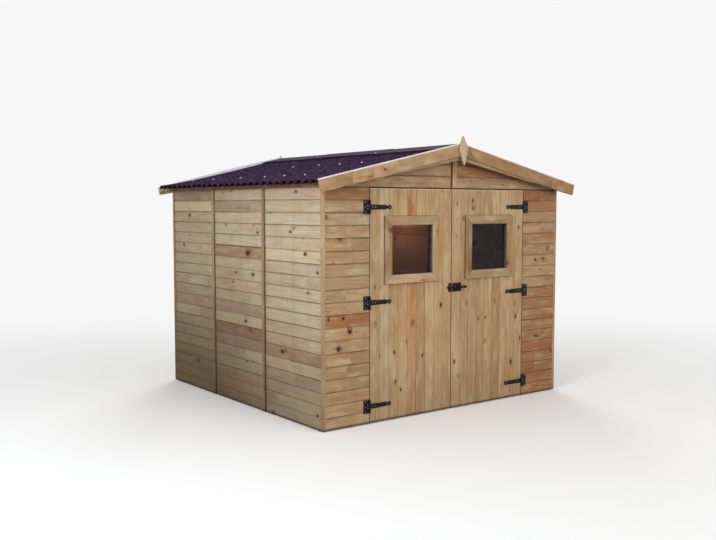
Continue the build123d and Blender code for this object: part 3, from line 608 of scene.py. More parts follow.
def front_board_wood():
    """Warm front cladding, partly painted warm light, with a few redder boards and painted shade close
    under the verge.
    """
    def under_verge(n, rest, wood):
        x, z = n.split(rest)[::2]
        rise = n.math("MULTIPLY_ADD", n.math("ABSOLUTE", x), BATTEN_SLOPE, z)
        below = n.math("SUBTRACT", BATTEN_FOOT, rise)
        # painted shade in a band under the verge batten, stronger on the right half
        shaded = n.math("MULTIPLY", n.step(below, 0.026, 0.0), n.step(x, -0.05, 0.05, 0.12, 0.40))
        return n.mix(shaded, wood, colour(92, 58, 34))

    return timber("front_board_wood", [
        (0.00, colour(184, 162, 132)), (0.22, colour(186, 160, 120)), (0.42, colour(174, 146, 108)),
        (0.58, colour(178, 149, 112)), (0.74, colour(170, 138, 98)), (0.86, colour(166, 123, 76)),
        (0.95, colour(161, 110, 66)),
    ], knots=(0.12, 0.0060, 0.14), warm=0.46, splash=(0.30, 0.10), shade=under_verge,
        placed=((0.8, 0.0, 0.85), 0, marks_on_both("front_{}_panel", 1, PANEL_KNOTS, COURSE),
                marks_on_both("front_{}_panel", 1, PANEL_SWIRLS, COURSE)))


def side_board_wood():
    """Paler, greyer side cladding, partly painted cool light, with painted shade towards the rear and the
    ground.
    """
    def damp(n, rest, wood):
        x, y, z = n.split(rest)
        # painted shade: darker towards the ground and the rear
        low = n.math("MULTIPLY", n.step(z, 1.5, -0.1), n.step(y, -1.3, 0.4, 0.52, 0.82))
        back = n.step(y, -1.3, 1.2, 0.0, 0.30)
        wood = n.mix(n.math("ADD", low, back, clamp=True), wood, colour(144, 131, 114), "MULTIPLY")
        # a dark reddish strip on the side boards beside the rear corner trim
        on_side = n.math("GREATER_THAN", n.math("ABSOLUTE", x), SIDE_FACE)
        beside_rear_trim = n.math("MULTIPLY", n.step(y, SIDE_END - 0.030, SIDE_END - 0.012, 0.0, 0.65), on_side)
        return n.mix(beside_rear_trim, wood, colour(122, 74, 50))

    return timber("side_board_wood", [
        (0.00, colour(208, 198, 174)), (0.25, colour(212, 198, 168)), (0.48, colour(204, 191, 166)),
        (0.68, colour(208, 192, 162)), (0.80, colour(186, 166, 146)), (0.88, colour(176, 150, 130)),
        (0.95, colour(166, 132, 104)),
    ], knots=(0.13, 0.0056, 0.12), rings=0.22, warm=0.30, splash=(0.50, 0.22), shade=damp,
        placed=((0.0, 0.6, 0.9), 1, marks_on("left_wall_cladding", 1, SIDE_BAYS, SIDE_KNOTS, COURSE),
                marks_on("left_wall_cladding", 1, SIDE_BAYS, SIDE_SWIRLS, COURSE)))


def door_board_wood():
    """Honey-coloured upright door boards, with a painted highlight along their tops and painted shadow
    round the casing.
    """
    def edges(n, rest, wood):
        x, z = n.split(rest)[::2]
        # painted highlight along the tops of the boards
        wood = n.mix(n.step(z, DOOR_TOP - 0.008, DOOR_TOP, 0.0, 0.7), wood, colour(228, 208, 180))
        # painted shadow in a thin band round each casing
        for side in SIDES:
            low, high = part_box(f"{side}_window_casing")
            middle, reach = (low + high) / 2, (high - low) / 2
            beside = n.math("SUBTRACT", n.math("ABSOLUTE", n.math("SUBTRACT", x, middle.x)), reach.x)
            beyond = n.math("SUBTRACT", n.math("ABSOLUTE", n.math("SUBTRACT", z, middle.z)), reach.z)
            away = n.math("MAXIMUM", beside, beyond)
            wood = n.mix(n.step(away, 0.007, 0.001, 0.0, 0.60), wood, colour(84, 52, 30))
        return wood

    return timber("door_board_wood", [
        (0.00, colour(204, 188, 166)), (0.08, colour(192, 168, 128)), (0.40, colour(184, 156, 112)),
        (0.56, colour(186, 156, 117)), (0.70, colour(178, 147, 103)), (0.82, colour(176, 139, 94)),
        (0.92, colour(172, 126, 82)),
    ], knots=(0.13, 0.0060, 0.12), bands=0.50, splash=(0.50, 0.26), blotch=0.18, shade=edges,
        placed=((1.05, 0.0, 0.62), 0, marks_on_both("{}_door_leaf", DOOR_BOARDS, DOOR_KNOTS),
                marks_on_both("{}_door_leaf", DOOR_BOARDS, DOOR_SWIRLS)))


def trim_wood():
    """Planed timber, from the pale trims through the casings to the bargeboards."""
    def verge(n, rest, wood):
        x, y, z = n.split(rest)
        rear = n.step(y, -1.0, 1.0)
        rise = n.math("MULTIPLY_ADD", n.math("ABSOLUTE", x), BARGE_SLOPE, z)
        # pale strips along the bargeboards' tops: sun bleaching and a painted highlight, near-white on
        # the rear ones' inner faces
        down = n.math("SUBTRACT", n.step(rear, 0.0, 1.0, *BARGE_TOPS), rise)
        near_top = n.step(down, n.step(rear, 0.0, 1.0, *BLEACHED_AND_LIT_STRIPS), 0.0)
        near_top = n.math("MULTIPLY", near_top, n.step(rear, 0.0, 1.0, 1.2, 1.8), clamp=True)
        inner = n.step(y, REAR_BOARD_MIDDLE + 0.002, REAR_BOARD_MIDDLE - 0.002)
        near_top = n.math("MULTIPLY", near_top, inner)
        wood = n.mix(near_top, wood, n.mix(rear, colour(238, 230, 218), colour(232, 232, 240)))
        # painted shadow of the bargeboard: a dark line on the verge batten under its lower edge
        below = n.math("SUBTRACT", BARGE_FOOT, rise)
        batten = n.math("COMPARE", n.math("ABSOLUTE", y), *BATTEN_PLACE)
        line = n.math("MULTIPLY", n.step(below, 0.011, 0.003, 0.0, 0.75), batten)
        wood = n.mix(line, wood, colour(84, 52, 32))
        # painted shade: the side trims darker towards the ground and the rear
        low = n.math("MULTIPLY", n.step(z, 1.5, -0.1), n.step(y, -1.3, 0.4, 0.30, 0.85))
        on_side = n.math("GREATER_THAN", n.math("ABSOLUTE", x), TRIM_FACE)
        return n.mix(n.math("MULTIPLY", low, on_side), wood, colour(138, 116, 94), "MULTIPLY")

    return timber("trim_wood", [
        (0.00, colour(206, 188, 160)), (0.20, colour(196, 174, 142)), (0.30, colour(184, 160, 124)),
        (0.50, colour(174, 147, 110)), (0.70, colour(168, 136, 98)), (0.85, colour(156, 120, 80)),
    ], knots=(0.14, 0.0066, 0.16), splash=(0.30, 0.18), blotch=0.20, rings=0.28, warm=0.42, shade=verge)


def finial_wood():
    """Evenly pale planed timber, with a painted highlight on the rear one's inner face."""
    middle = sum(corner.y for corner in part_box("rear_finial")) / 2

    def bleached(n, rest, wood):
        # painted highlight: the rear finial's inner face near-white
        y = n.split(rest)[1]
        inner = n.step(y, middle + 0.003, middle - 0.003, 0.0, 0.85)
        return n.mix(n.math("MULTIPLY", n.step(y, 0.0, 1.0), inner), wood, colour(232, 232, 238))

    return timber("finial_wood", [(0.00, colour(191, 173, 147)), (0.50, colour(184, 163, 136))],
                  knots=(0.14, 0.0040, 0.10), blotch=0.08, rings=0.20, bands=0.20, warm=0.08,
                  shade=bleached)


def framing_wood():
    """Sawn framing behind the boards and under the roof."""
    return timber("framing_wood", [
        (0.00, colour(184, 140, 100)), (0.35, colour(170, 122, 84)), (0.70, colour(152, 106, 72)),
        (0.86, colour(132, 88, 58)),
    ], knots=(0.14, 0.0060, 0.40), splash=(0.25, 0.25), blotch=0.3, rings=0.42)


def roof_sheet_finish():
    """Matt aubergine bitumen sheet, fibrous, with dirt and painted shade in its valleys, deeper over the
    middle purlins, a painted shadow under the ridge cap's edges and a painted sheen on the cap.
    """
    material, n, shader = new_material("roof_sheet_finish", {"Specular IOR Level": 0.0})
    rest = n.add("TexCoord").outputs["Object"]
    hollow = n.attribute("crevice", "Fac")
    dust = n.group(DUST, {"Place": rest})
    mottle = n.noise(n.vector("MULTIPLY", rest, (46.0, 9.0, 46.0)), 1.0, 5.0, 0.65)
    sheet = n.mix(n.step(mottle, 0.32, 0.68), colour(44, 30, 52), colour(84, 64, 92))
    sheet = n.mix(n.step(dust["Speckle"], 0.55, 0.8, 0.0, 0.30), sheet, colour(68, 54, 76))
    sheet = n.mix(n.math("MULTIPLY", dust["Dust"], 0.06), sheet, colour(110, 96, 110))

    reach = n.math("ABSOLUTE", n.split(rest)[0])
    # painted shade in the valleys and under the sheets, with some dirt, and a painted crease shadow over
    # the middle purlins
    start, full, fading, end = PURLIN_CREASE
    crease = n.math("MULTIPLY", n.step(reach, end, fading), n.step(reach, start, full))
    patchy = n.noise(n.vector("MULTIPLY", rest, (0.0, 4.0, 0.0)), 1.0, 2.0)
    patchy = n.step(patchy, 0.42, 0.60, 0.0, 0.3)
    shade = n.math("MULTIPLY", hollow, n.math("MULTIPLY_ADD", crease, patchy, 0.55), clamp=True)
    # painted shadow on the sheets under the ridge cap's edges
    faint, full = (CAP_HALF_WIDTH + beyond for beyond in CAP_SHADE)
    under_cap = n.math("MULTIPLY", n.step(reach, faint, full),
                       n.math("GREATER_THAN", reach, CAP_HALF_WIDTH - 0.002))
    under_cap = n.math("MULTIPLY", under_cap, n.math("MULTIPLY_ADD", hollow, 0.35, 0.65), clamp=True)
    # painted sheen: the ridge cap lighter, in place of its reflection
    on_cap = n.math("LESS_THAN", reach, CAP_HALF_WIDTH + 0.001)
    sheet = n.mix(n.math("MULTIPLY", on_cap, 0.72), sheet, colour(112, 98, 116))
    sheet = n.mix(n.math("MAXIMUM", shade, under_cap), sheet, colour(15, 8, 17))
    height = n.math("MULTIPLY_ADD", mottle, 0.6, dust["Speckle"])
    n.coat(shader, sheet, n.step(dust["Speckle"], 0.2, 0.8, 0.70, 0.92), (0.4, 0.0015, height))
    return material


def speckled(name, grain_size, shades, roughness, metallic=0.0, rough_with="Speckle", edges=(0.2, 0.8)):
    """A plain finish for small pieces, speckled between two shades."""
    material, n, shader = new_material(name, {"Metallic": metallic})
    dust = n.group(DUST, {"Place": n.add("TexCoord").outputs["Object"], "Grain Size": grain_size})
    n.coat(shader, n.mix(dust["Speckle"], *shades), n.step(dust[rough_with], *edges, *roughness))
    return material


def cap_finish():
    """Pale moulded caps over the roof nails, duller where dust lies."""
    return speckled("roof_nail_cap_finish", 0.002, (colour(150, 138, 152), colour(196, 186, 198)),
                    (0.45, 0.7), rough_with="Dust", edges=(0.0, 1.0))


def screw_steel():
    """Plain zinc of screw heads."""
    return speckled("screw_steel", 0.001, (colour(120, 116, 112), colour(176, 172, 166)),
                    (0.25, 0.5), metallic=0.85)


def nail_iron():
    """Dark, slightly rusted nail heads."""
    return speckled("nail_iron", 0.001, (colour(58, 44, 38), colour(104, 78, 62)),
                    (0.5, 0.75), metallic=0.5)


def black_steel():
    """Black painted fittings with dusty tops and edges rubbed towards grey."""
    material, n, shader = new_material("black_steel", {"Specular IOR Level": 0.22})
    rest = n.add("TexCoord").outputs["Object"]
    dust = n.group(DUST, {"Place": rest, "Grain Size": 0.0015})
    paint = n.mix(n.step(dust["Speckle"], 0.3, 0.75), colour(9, 8, 9), colour(18, 16, 17))
    worn = n.step(n.noise(rest, 160.0, 3.0), 0.45, 0.65, 0.0, 0.6)
    rub = n.math("MULTIPLY", n.attribute("arris", "Fac"), worn)
    paint = n.mix(rub, paint, colour(52, 48, 48))
    paint = n.mix(n.math("MULTIPLY", dust["Dust"], 0.15), paint, colour(96, 86, 78))
    n.coat(shader, paint, n.step(dust["Speckle"], 0.2, 0.8, 0.44, 0.66), (0.25, 0.0004, dust["Speckle"]))
    return material


def bead_finish():
    """Grey glazing bead, a little grimy."""
    material, n, shader = new_material("bead_finish")
    rest = n.add("TexCoord").outputs["Object"]
    dust = n.group(DUST, {"Place": rest, "Grain Size": 0.003})
    bead = n.mix(n.step(n.noise(rest, 24.0, 3.0), 0.35, 0.7), colour(92, 88, 92), colour(72, 66, 64))
    n.coat(shader, bead, n.step(dust["Speckle"], 0.2, 0.8, 0.4, 0.6))
    return material


def pane_glass():
    """Thin clear glazing, faintly uneven, that lets daylight through to the inside."""
    material, n, shader = new_material("pane_glass", {
        "Transmission Weight": 1.0, "Metallic": 0.0, "IOR": 1.22, "Specular IOR Level": 0.15,
    })
    rest = n.add("TexCoord").outputs["Object"]
    streaks = n.noise(n.vector("MULTIPLY", rest, (3.0, 3.0, 1.2)), 1.0, 2.0)
    n.coat(shader, colour(198, 187, 188), n.step(streaks, 0.3, 0.7, 0.02, 0.06), (0.08, 0.002, streaks))
    clear = n.add("BsdfTransparent", {"Color": colour(225, 230, 230)})
    shadow = n.add("LightPath").outputs["Is Shadow Ray"]
    either = n.add("MixShader", {0: shadow, 1: shader.outputs[0], 2: clear.outputs[0]})
    n.feed(material.node_tree.nodes["Material Output"].inputs["Surface"], either.outputs[0])
    return material


FRONT_BOARDS = front_board_wood()
SIDE_BOARDS = side_board_wood()
DOOR_WOOD = door_board_wood()
TRIM_WOOD = trim_wood()
FINIAL_WOOD = finial_wood()
FRAMING_WOOD = framing_wood()
ROOF_SHEET = roof_sheet_finish()
NAIL_CAPS = cap_finish()
BLACK_STEEL = black_steel()
SCREW_STEEL = screw_steel()
NAIL_IRON = nail_iron()
PANE_GLASS = pane_glass()
BEAD_FINISH = bead_finish()


# ---------------------------------------------------------------- mesh helpers
def random_tone(warmth=None):
    """A board's own three numbers: its colour, its lightness and the cut of its grain."""
    first = draw.random() if warmth is None else warmth
    return Vector((first, draw.random(), draw.random()))


class Piece:
    """One mesh made of many boards or fittings, with the attributes that its material reads."""

    def __init__(self, name):
        self.name = name
        self.points, self.faces, self.arris = [], [], []
        self.place, self.tone, self.crevice = [], [], []

    def take(self, bm, along, out, tone=Vector((0.5, 0.5, 0.5)), crevice=lambda point: 0.0):
        """Adds a closed mesh whose grain runs along one direction and whose face looks out."""
        across = out.cross(along)
        centre = sum((vert.co for vert in bm.verts), Vector()) / max(1, len(bm.verts))
        start = len(self.points)
        bm.verts.index_update()
        for vert in bm.verts:
            offset = vert.co - centre
            self.points.append(vert.co.copy())
            self.place.append((offset.dot(along), offset.dot(across), offset.dot(out)))
            self.tone.append(tone)
            self.crevice.append(crevice(vert.co))
        for face in bm.faces:
            self.faces.append([start + vert.index for vert in face.verts])
            self.arris.append(float(face.material_index))
        bm.free()

    def finish(self, body, slot, material, *nodes):
        """Makes the object, which rides on a body and may stand for CAD nodes."""
        mesh = bpy.data.meshes.new(self.name)
        mesh.from_pydata(self.points, [], self.faces)
        for label, values in (("grain_place", self.place), ("board_tone", self.tone)):
            layer = mesh.attributes.new(label, "FLOAT_VECTOR", "POINT")
            layer.data.foreach_set("vector", [number for value in values for number in value])
        mesh.attributes.new("crevice", "FLOAT", "POINT").data.foreach_set("value", self.crevice)
        mesh.attributes.new("arris", "FLOAT", "FACE").data.foreach_set("value", self.arris)
        mesh.polygons.foreach_set("use_smooth", [True] * len(self.faces))
        mesh.set_sharp_from_angle(angle=math.radians(32))
        mesh.materials.append(material)
        piece = bpy.data.objects.new(self.name, mesh)
        bpy.context.scene.collection.objects.link(piece)
        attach(piece, body)
        if nodes:
            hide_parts(*nodes)
        return piece


def solids(node):
    """The separate solids of a CAD node, each as a clean bmesh, in order of their place."""
    whole = bmesh.new()
    whole.from_mesh(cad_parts[node].data)
    bmesh.ops.remove_doubles(whole, verts=whole.verts, dist=1e-5)
    bmesh.ops.dissolve_limit(whole, angle_limit=0.005, verts=whole.verts, edges=whole.edges)
    whole.verts.index_update()
    owner = {}
    for vert in whole.verts:
        if vert.index in owner:
            continue
        owner[vert.index] = vert.index
        front = [vert]
        while front:
            for edge in front.pop().link_edges:
                for other in edge.verts:
                    if other.index not in owner:
                        owner[other.index] = vert.index
                        front.append(other)
    parts = {}
    for face in whole.faces:
        part, fresh = parts.setdefault(owner[face.verts[0].index], (bmesh.new(), {}))
        for vert in face.verts:
            if vert.index not in fresh:
                fresh[vert.index] = part.verts.new(vert.co)
        part.faces.new([fresh[vert.index] for vert in face.verts])
    whole.free()
    found = [part for part, fresh in parts.values()]
    for part in found:
        part.normal_update()
    return sorted(found, key=lambda part: tuple(round(value, 4) for value in limits(part)[0]))


def limits(bm):
    """Lowest and highest corners of a bmesh."""
    points = [vert.co for vert in bm.verts]
    low = Vector(min(point[axis] for point in points) for axis in range(3))
    high = Vector(max(point[axis] for point in points) for axis in range(3))
    return low, high


def boxes(node):
    """Lowest and highest corners of each solid of a CAD node."""
    found = []
    for part in solids(node):
        found.append(limits(part))
        part.free()
    return found


def soften(bm, width, segments=2, least=0.4):
    """Rounds the sharp edges, and marks the new faces as arrises."""
    sharp = [edge for edge in bm.edges
             if len(edge.link_faces) == 2 and edge.calc_face_angle(0.0) > least]
    bmesh.ops.bevel(bm, geom=sharp, offset=width, segments=segments, profile=0.6, affect="EDGES",
                    clamp_overlap=True, material=1)


def clip(bm, point, normal):
    """Cuts away what lies beyond a plane and closes the cut."""
    everything = bm.verts[:] + bm.edges[:] + bm.faces[:]
    cut = bmesh.ops.bisect_plane(bm, geom=everything, dist=1e-6, plane_co=point, plane_no=normal,
                                 clear_outer=True)
    rim = [item for item in cut["geom_cut"] if isinstance(item, bmesh.types.BMEdge)]
    if rim:
        bmesh.ops.holes_fill(bm, edges=rim, sides=0)
    return bm


def skinned(rings):
    """A closed mesh through rings of points, each joined to the next and the outer two filled."""
    bm = bmesh.new()
    loops = [[bm.verts.new(point) for point in ring] for ring in rings]
    for near, far in zip(loops, loops[1:]):
        for i in range(len(near)):
            j = (i + 1) % len(near)
            bm.faces.new((near[i], near[j], far[j], far[i]))
    bm.faces.new(loops[0])
    bm.faces.new(loops[-1])
    bmesh.ops.recalc_face_normals(bm, faces=bm.faces)
    return bm


def extrusion(section, start, stop, across, out):
    """A closed bar between two points; its section is (across, out) offsets in order."""
    return skinned([[end + across * a + out * b for a, b in section] for end in (start, stop)])


def slab(outline, out, thickness):
    """A flat piece with a given outline, thickened outwards."""
    return skinned([outline, [point + out * thickness for point in outline]])


def turned(centre, axis, rings, sides, lobes=None):
    """A turned form: rings of (radius, height) along an axis; one ring may have four lobes."""
    first = axis.orthogonal().normalized()
    second = axis.cross(first)
    loops = []
    for index, (radius, height) in enumerate(rings):
        loops.append([])
        for i in range(sides):
            turn = 2 * math.pi * i / sides
            reach = radius * (1 + 0.45 * math.cos(4 * turn)) if index == lobes else radius
            spoke = first * math.cos(turn) + second * math.sin(turn)
            loops[-1].append(centre + spoke * reach + axis * height)
    return skinned(loops)


def rectangle(low, high, y):
    """Corners of an upright rectangle that looks forwards, anticlockwise from the lowest left."""
    return [Vector((x, y, z)) for x, z in
            ((low.x, low.z), (high.x, low.z), (high.x, high.z), (low.x, high.z))]


def facing(low, high):
    """The level direction along an upright panel, and the direction that it faces."""
    size, centre = high - low, (low + high) / 2
    if size.x < size.y:
        out = Vector((math.copysign(1, centre.x), 0, 0))
    else:
        out = Vector((0, math.copysign(1, centre.y), 0))
    return UP.cross(out), out


# ---------------------------------------------------------------- shiplap walls
def shiplap_section():
    """(height, depth) corners of a shiplap board: its hanging lip, face, hollow and tongue."""
    hollow = []
    ends = ((HOLLOW_START, BOARD_THICKNESS), HOLLOW_KNEE, (HOLLOW_STOP, TONGUE))
    for i in range(HOLLOW_STEPS + 1):
        t = i / HOLLOW_STEPS
        weights = ((1 - t) ** 2, 2 * t * (1 - t), t ** 2)
        hollow.append(tuple(sum(w * end[axis] for w, end in zip(weights, ends)) for axis in (0, 1)))
    rebate = LAP + ARRIS
    return [
        (0.0, LIP), (0.0, BOARD_THICKNESS - ARRIS), (ARRIS, BOARD_THICKNESS), *hollow,
        (COURSE + LAP, TONGUE), (COURSE + LAP, 0.0), (rebate, 0.0), (rebate, LIP),
    ]


SHIPLAP = shiplap_section()
nails = {body: [] for body in ("shed", "left_door", "right_door")}


def sloping_planes(panel):
    """(point, normal) of the planes that close a wall panel at its top."""
    tops = [face for face in panel.faces if face.normal.z > 0.5]
    slopes = [face for face in tops if abs(face.normal.x) > 0.1] or tops
    highest = max(slopes, key=lambda face: face.calc_center_median().z)
    return highest.verts[0].co - highest.normal * ARRIS, highest.normal.copy()


def lengths(start, stop):
    """A board's lengths: whole, or finger-jointed from two or three."""
    cuts = [start]
    while draw.random() < FINGER_JOINTS and stop - cuts[-1] > 2 * SHORTEST_LENGTH:
        cuts.append(draw.uniform(cuts[-1] + SHORTEST_LENGTH, stop - SHORTEST_LENGTH))
    return zip(cuts, cuts[1:] + [stop])


def around(bm, notches):
    """The parts of a board that stay beside and under the timbers that pass through it."""
    parts = [bm]
    for low, high in notches:
        left = []
        for part in parts:
            beside = clip(part.copy(), Vector((low.x - ARRIS, 0, 0)), Vector((1, 0, 0)))
            beyond = clip(part.copy(), Vector((high.x + ARRIS, 0, 0)), Vector((-1, 0, 0)))
            under = clip(part.copy(), Vector((low.x - ARRIS, 0, 0)), Vector((-1, 0, 0)))
            under = clip(under, Vector((high.x + ARRIS, 0, 0)), Vector((1, 0, 0)))
            under = clip(under, Vector((0, 0, low.z - ARRIS)), UP)
            left += [piece for piece in (beside, beyond, under) if piece.faces]
            part.free()
        parts = left
    return parts


def joint_depth(depth):
    """How deep in a joint a point of a board's face is: 0 on the face, 1 on the tongue."""
    return max(0.0, (BOARD_THICKNESS - depth) / TONGUE) if depth > TONGUE * 0.97 else 0.0


def nail_course(along, out, ends, bottom, face):
    """Two nails near each end of a course of boards."""
    for spot in (ends[0] + NAIL_INSET, ends[1] - NAIL_INSET):
        for height in NAIL_HEIGHTS:
            nudge = draw.uniform(-NAIL_NUDGE, NAIL_NUDGE)
            head = along * (spot + nudge) + UP * (bottom + height + nudge)
            nails["shed"].append((head + out * face, out))


def clad(name, node, material, tints, spread=(0.0, 0.8), notches=(), joint_dirt_and_shade_range=(0.4, 0.85)):
    """Shiplap boards in courses over each panel of a CAD node.

    tints gives the warmth of some boards by (bay, course); spread is the range for the rest.
    """
    piece = Piece(name)
    for bay, panel in enumerate(solids(node)):
        low, high = limits(panel)
        along, out = facing(low, high)
        start, stop = sorted((low.dot(along), high.dot(along)))
        inner = min(low.dot(out), high.dot(out))
        top = sloping_planes(panel)
        course = round((low.z - COURSE_BOTTOM) / COURSE)
        while COURSE_BOTTOM + course * COURSE < high.z - LEAST_COURSE:
            bottom = COURSE_BOTTOM + course * COURSE
            for first, last in lengths(start, stop):
                tilt = [draw.uniform(-BOARD_TILT, BOARD_TILT) for end in range(2)]
                ends = [along * first + UP * (bottom + tilt[0]) + out * inner,
                        along * last + UP * (bottom + tilt[1]) + out * inner]
                bm = clip(extrusion(SHIPLAP, *ends, UP, out), *top)
                tint = tints.get((bay, course), draw.uniform(*spread))
                tone = random_tone(min(1.0, max(0.0, tint + draw.uniform(-0.04, 0.04))))
                # dirt and painted shade in this board's joints, deepest on its tongue
                dirt_and_shade = draw.uniform(*joint_dirt_and_shade_range)
                for part in around(bm, notches):
                    piece.take(part, along, out, tone,
                               lambda point: dirt_and_shade * joint_depth(point.dot(out) - inner))
            if bottom + COURSE < high.z and not notches:
                nail_course(along, out, (start, stop), bottom, inner + BOARD_THICKNESS)
            course += 1
        panel.free()
    return piece.finish("shed", "cladding", material, node)


def walls():
    """All the shiplap: side walls, rear wall, the panels beside the doors, and the gables."""
    clad("left_wall_boards", "left_wall_cladding", SIDE_BOARDS, WALL_TINTS["left_wall"],
         (0.0, 0.74), joint_dirt_and_shade_range=(0.3, 0.85))
    for wall in ("right_wall", "rear_wall"):
        clad(f"{wall}_boards", f"{wall}_cladding", SIDE_BOARDS, WALL_TINTS[wall])
    # The right-hand panel's darker, warmer tones partly paint the shade that lay on it.
    for panel, spread in (("front_left", (0.05, 0.70)), ("front_right", (0.80, 0.94))):
        clad(f"{panel}_boards", f"{panel}_panel", FRONT_BOARDS, WALL_TINTS[panel], spread)
    passing = boxes("middle_purlins") + boxes("ridge_beam")
    for end in ENDS:
        clad(f"{end}_gable_boards", f"{end}_gable", FRONT_BOARDS, WALL_TINTS["gable"], notches=passing)


# ---------------------------------------------------------------- doors
def door_section(width):
    """(across, depth) corners of a door board, with a V and a slot at each edge."""
    half = [(0.0, 0.0), (0.0, BOARD_THICKNESS - SLOT_DEPTH), (SLOT, BOARD_THICKNESS - SLOT_DEPTH),
            (SLOT, BOARD_THICKNESS - VEE_DEPTH), (VEE, BOARD_THICKNESS)]
    return half + [(width - across, depth) for across, depth in reversed(half)]


def window_hole(side):
    """Lowest and highest corners of the hole in a door leaf."""
    low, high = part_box(f"{side}_window_pane")
    lap = Vector((PANE_LAP, 0, PANE_LAP))
    return low + lap, high - lap


def door_leaf(side):
    """Upright boards of a door, cut round its window. Each has a tint above and one below."""
    node, out = f"{side}_door_leaf", Vector((0, -1, 0))
    low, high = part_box(node)
    hole_low, hole_high = window_hole(side)
    width = (high.x - low.x) / DOOR_BOARDS
    section = door_section(width)
    across = Vector((1, 0, 0))
    piece = Piece(f"{side}_door_boards")
    edge_dirt_and_shade = [draw.uniform(*DOOR_JOINT_DIRT_AND_SHADE) for edge in range(DOOR_BOARDS + 1)]

    def put(x, bottom, top, tone, cuts=()):
        ends = [Vector((x, high.y, z)) for z in (bottom, top)]
        bm = extrusion(section, *ends, across, out)
        for point, normal in cuts:
            clip(bm, point, normal)
        face = high.y - BOARD_THICKNESS
        dirt_and_shade = [edge_dirt_and_shade[round((x - low.x) / width) + far] for far in (0, 1)]

        # dirt and painted shade down the sides of each V joint
        def joint(point):
            share = min(1.0, max(0.0, point.y - face) / VEE_DEPTH)
            at_edge = min(point.x - x, x + width - point.x) < VEE * 1.5
            if not at_edge or point.y >= high.y - 0.001:
                return 0.0
            return share * dirt_and_shade[point.x > x + width / 2]

        piece.take(bm, UP, out, tone, joint)

    for k in range(DOOR_BOARDS):
        x = low.x + k * width
        upper, lower = (random_tone(warmth) for warmth in DOOR_TINTS[side][k])
        if x + width < hole_low.x or x > hole_high.x:
            put(x, low.z, high.z, lower)
            continue
        put(x, low.z, hole_low.z, lower)
        put(x, hole_high.z, high.z, upper)
        if x < hole_low.x:
            put(x, hole_low.z, hole_high.z, lower, [(hole_low, across)])
        if x + width > hole_high.x:
            put(x, hole_low.z, hole_high.z, lower, [(hole_high, -across)])

    for ledge_low, ledge_high in boxes(f"{side}_door_ledges"):
        size = ledge_high - ledge_low
        if size.x < LEDGE_LENGTH or size.z > LEDGE_HEIGHT:
            continue
        for k in range(DOOR_BOARDS):
            for share in LEDGE_NAILS:
                x = low.x + (k + 0.5) * width + draw.uniform(-NAIL_NUDGE, NAIL_NUDGE)
                z = ledge_low.z + size.z * share
                nails[f"{side}_door"].append((Vector((x, low.y, z)), out))
    return piece.finish(f"{side}_door", "door_boards", DOOR_WOOD, node)


def seat_shadow(bm, out, strength):
    """Painted shadow at the back edges of a piece that lies on boards."""
    reaches = [vert.co.dot(out) for vert in bm.verts]
    back, front = min(reaches), max(reaches)
    seat = back + (front - back) * SEAT_SHARE
    return lambda point: strength if point.dot(out) < seat else 0.0


def window_casing(side):
    """Four mitred boards round a window."""
    node, out = f"{side}_window_casing", Vector((0, -1, 0))
    low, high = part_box(node)
    hole_low, hole_high = window_hole(side)
    outer = rectangle(low, high, high.y)
    inner = rectangle(hole_low, hole_high, high.y)
    mitres = [(corner, (other - corner).cross(out).normalized())
              for corner, other in zip(outer, inner)]
    piece = Piece(f"{side}_window_casing_boards")
    for i in range(4):
        j = (i + 1) % 4
        along = (outer[j] - outer[i]).normalized()
        gap = along * MITRE_GAP
        outline = [outer[i] + gap, outer[j] - gap, inner[j] - gap, inner[i] + gap]
        bm = slab(outline, out, high.y - low.y)
        soften(bm, CASING_ARRIS)
        seat = seat_shadow(bm, out, CASING_SEAT)

        def joint(point):
            cut = min(abs((point - corner).dot(normal)) for corner, normal in mitres)
            return MITRE_DIRT if cut < MITRE_GAP * 1.5 else seat(point)

        piece.take(bm, along, out, random_tone(CASING_WARMTH[side][i]), joint)
    return piece.finish(f"{side}_door", "trim", TRIM_WOOD, node)


def glazing_beads(side):
    """A grey sealing bead round the opening in front of a pane."""
    out = Vector((0, -1, 0))
    pane_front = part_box(f"{side}_window_pane")[0].y
    low, high = window_hole(side)
    inset = Vector((BEAD_WIDTH, 0, BEAD_WIDTH))
    outer = rectangle(low, high, pane_front)
    inner = rectangle(low + inset, high - inset, pane_front)
    piece = Piece(f"{side}_glazing_beads")
    for i in range(4):
        j = (i + 1) % 4
        bm = slab([outer[i], outer[j], inner[j], inner[i]], out, BEAD_DEPTH)
        soften(bm, ARRIS)
        piece.take(bm, (outer[j] - outer[i]).normalized(), out)
    return piece.finish(f"{side}_door", "trim", BEAD_FINISH)


# ---------------------------------------------------------------- dressed timbers and fittings
def grain_directions(bm):
    """The longest straight edge's direction, and the way that the broadest face beside it looks."""
    longest = max(bm.edges, key=lambda edge: round(edge.calc_length(), 6))
    along = (longest.verts[1].co - longest.verts[0].co).normalized()
    sides = [face for face in bm.faces if abs(face.normal.dot(along)) < 0.1]
    broad = max(sides, key=lambda face: round(face.calc_area(), 6))
    out = (broad.normal - along * broad.normal.dot(along)).normalized()
    centre = sum((vert.co for vert in bm.verts), Vector()) / len(bm.verts)
    return along, out if out.dot(centre) > 0 else -out


def dress(node, body, slot, material, softness, warmth=(0.0, 1.0), seat=0.0):
    """A CAD node with softened arrises and a grain or tone of its own for each of its solids."""
    piece = Piece(f"{node}_dressed")
    for bm in solids(node):
        along, out = grain_directions(bm)
        soften(bm, softness)
        piece.take(bm, along, out, random_tone(draw.uniform(*warmth)), seat_shadow(bm, out, seat))
    return piece.finish(body, slot, material, node)


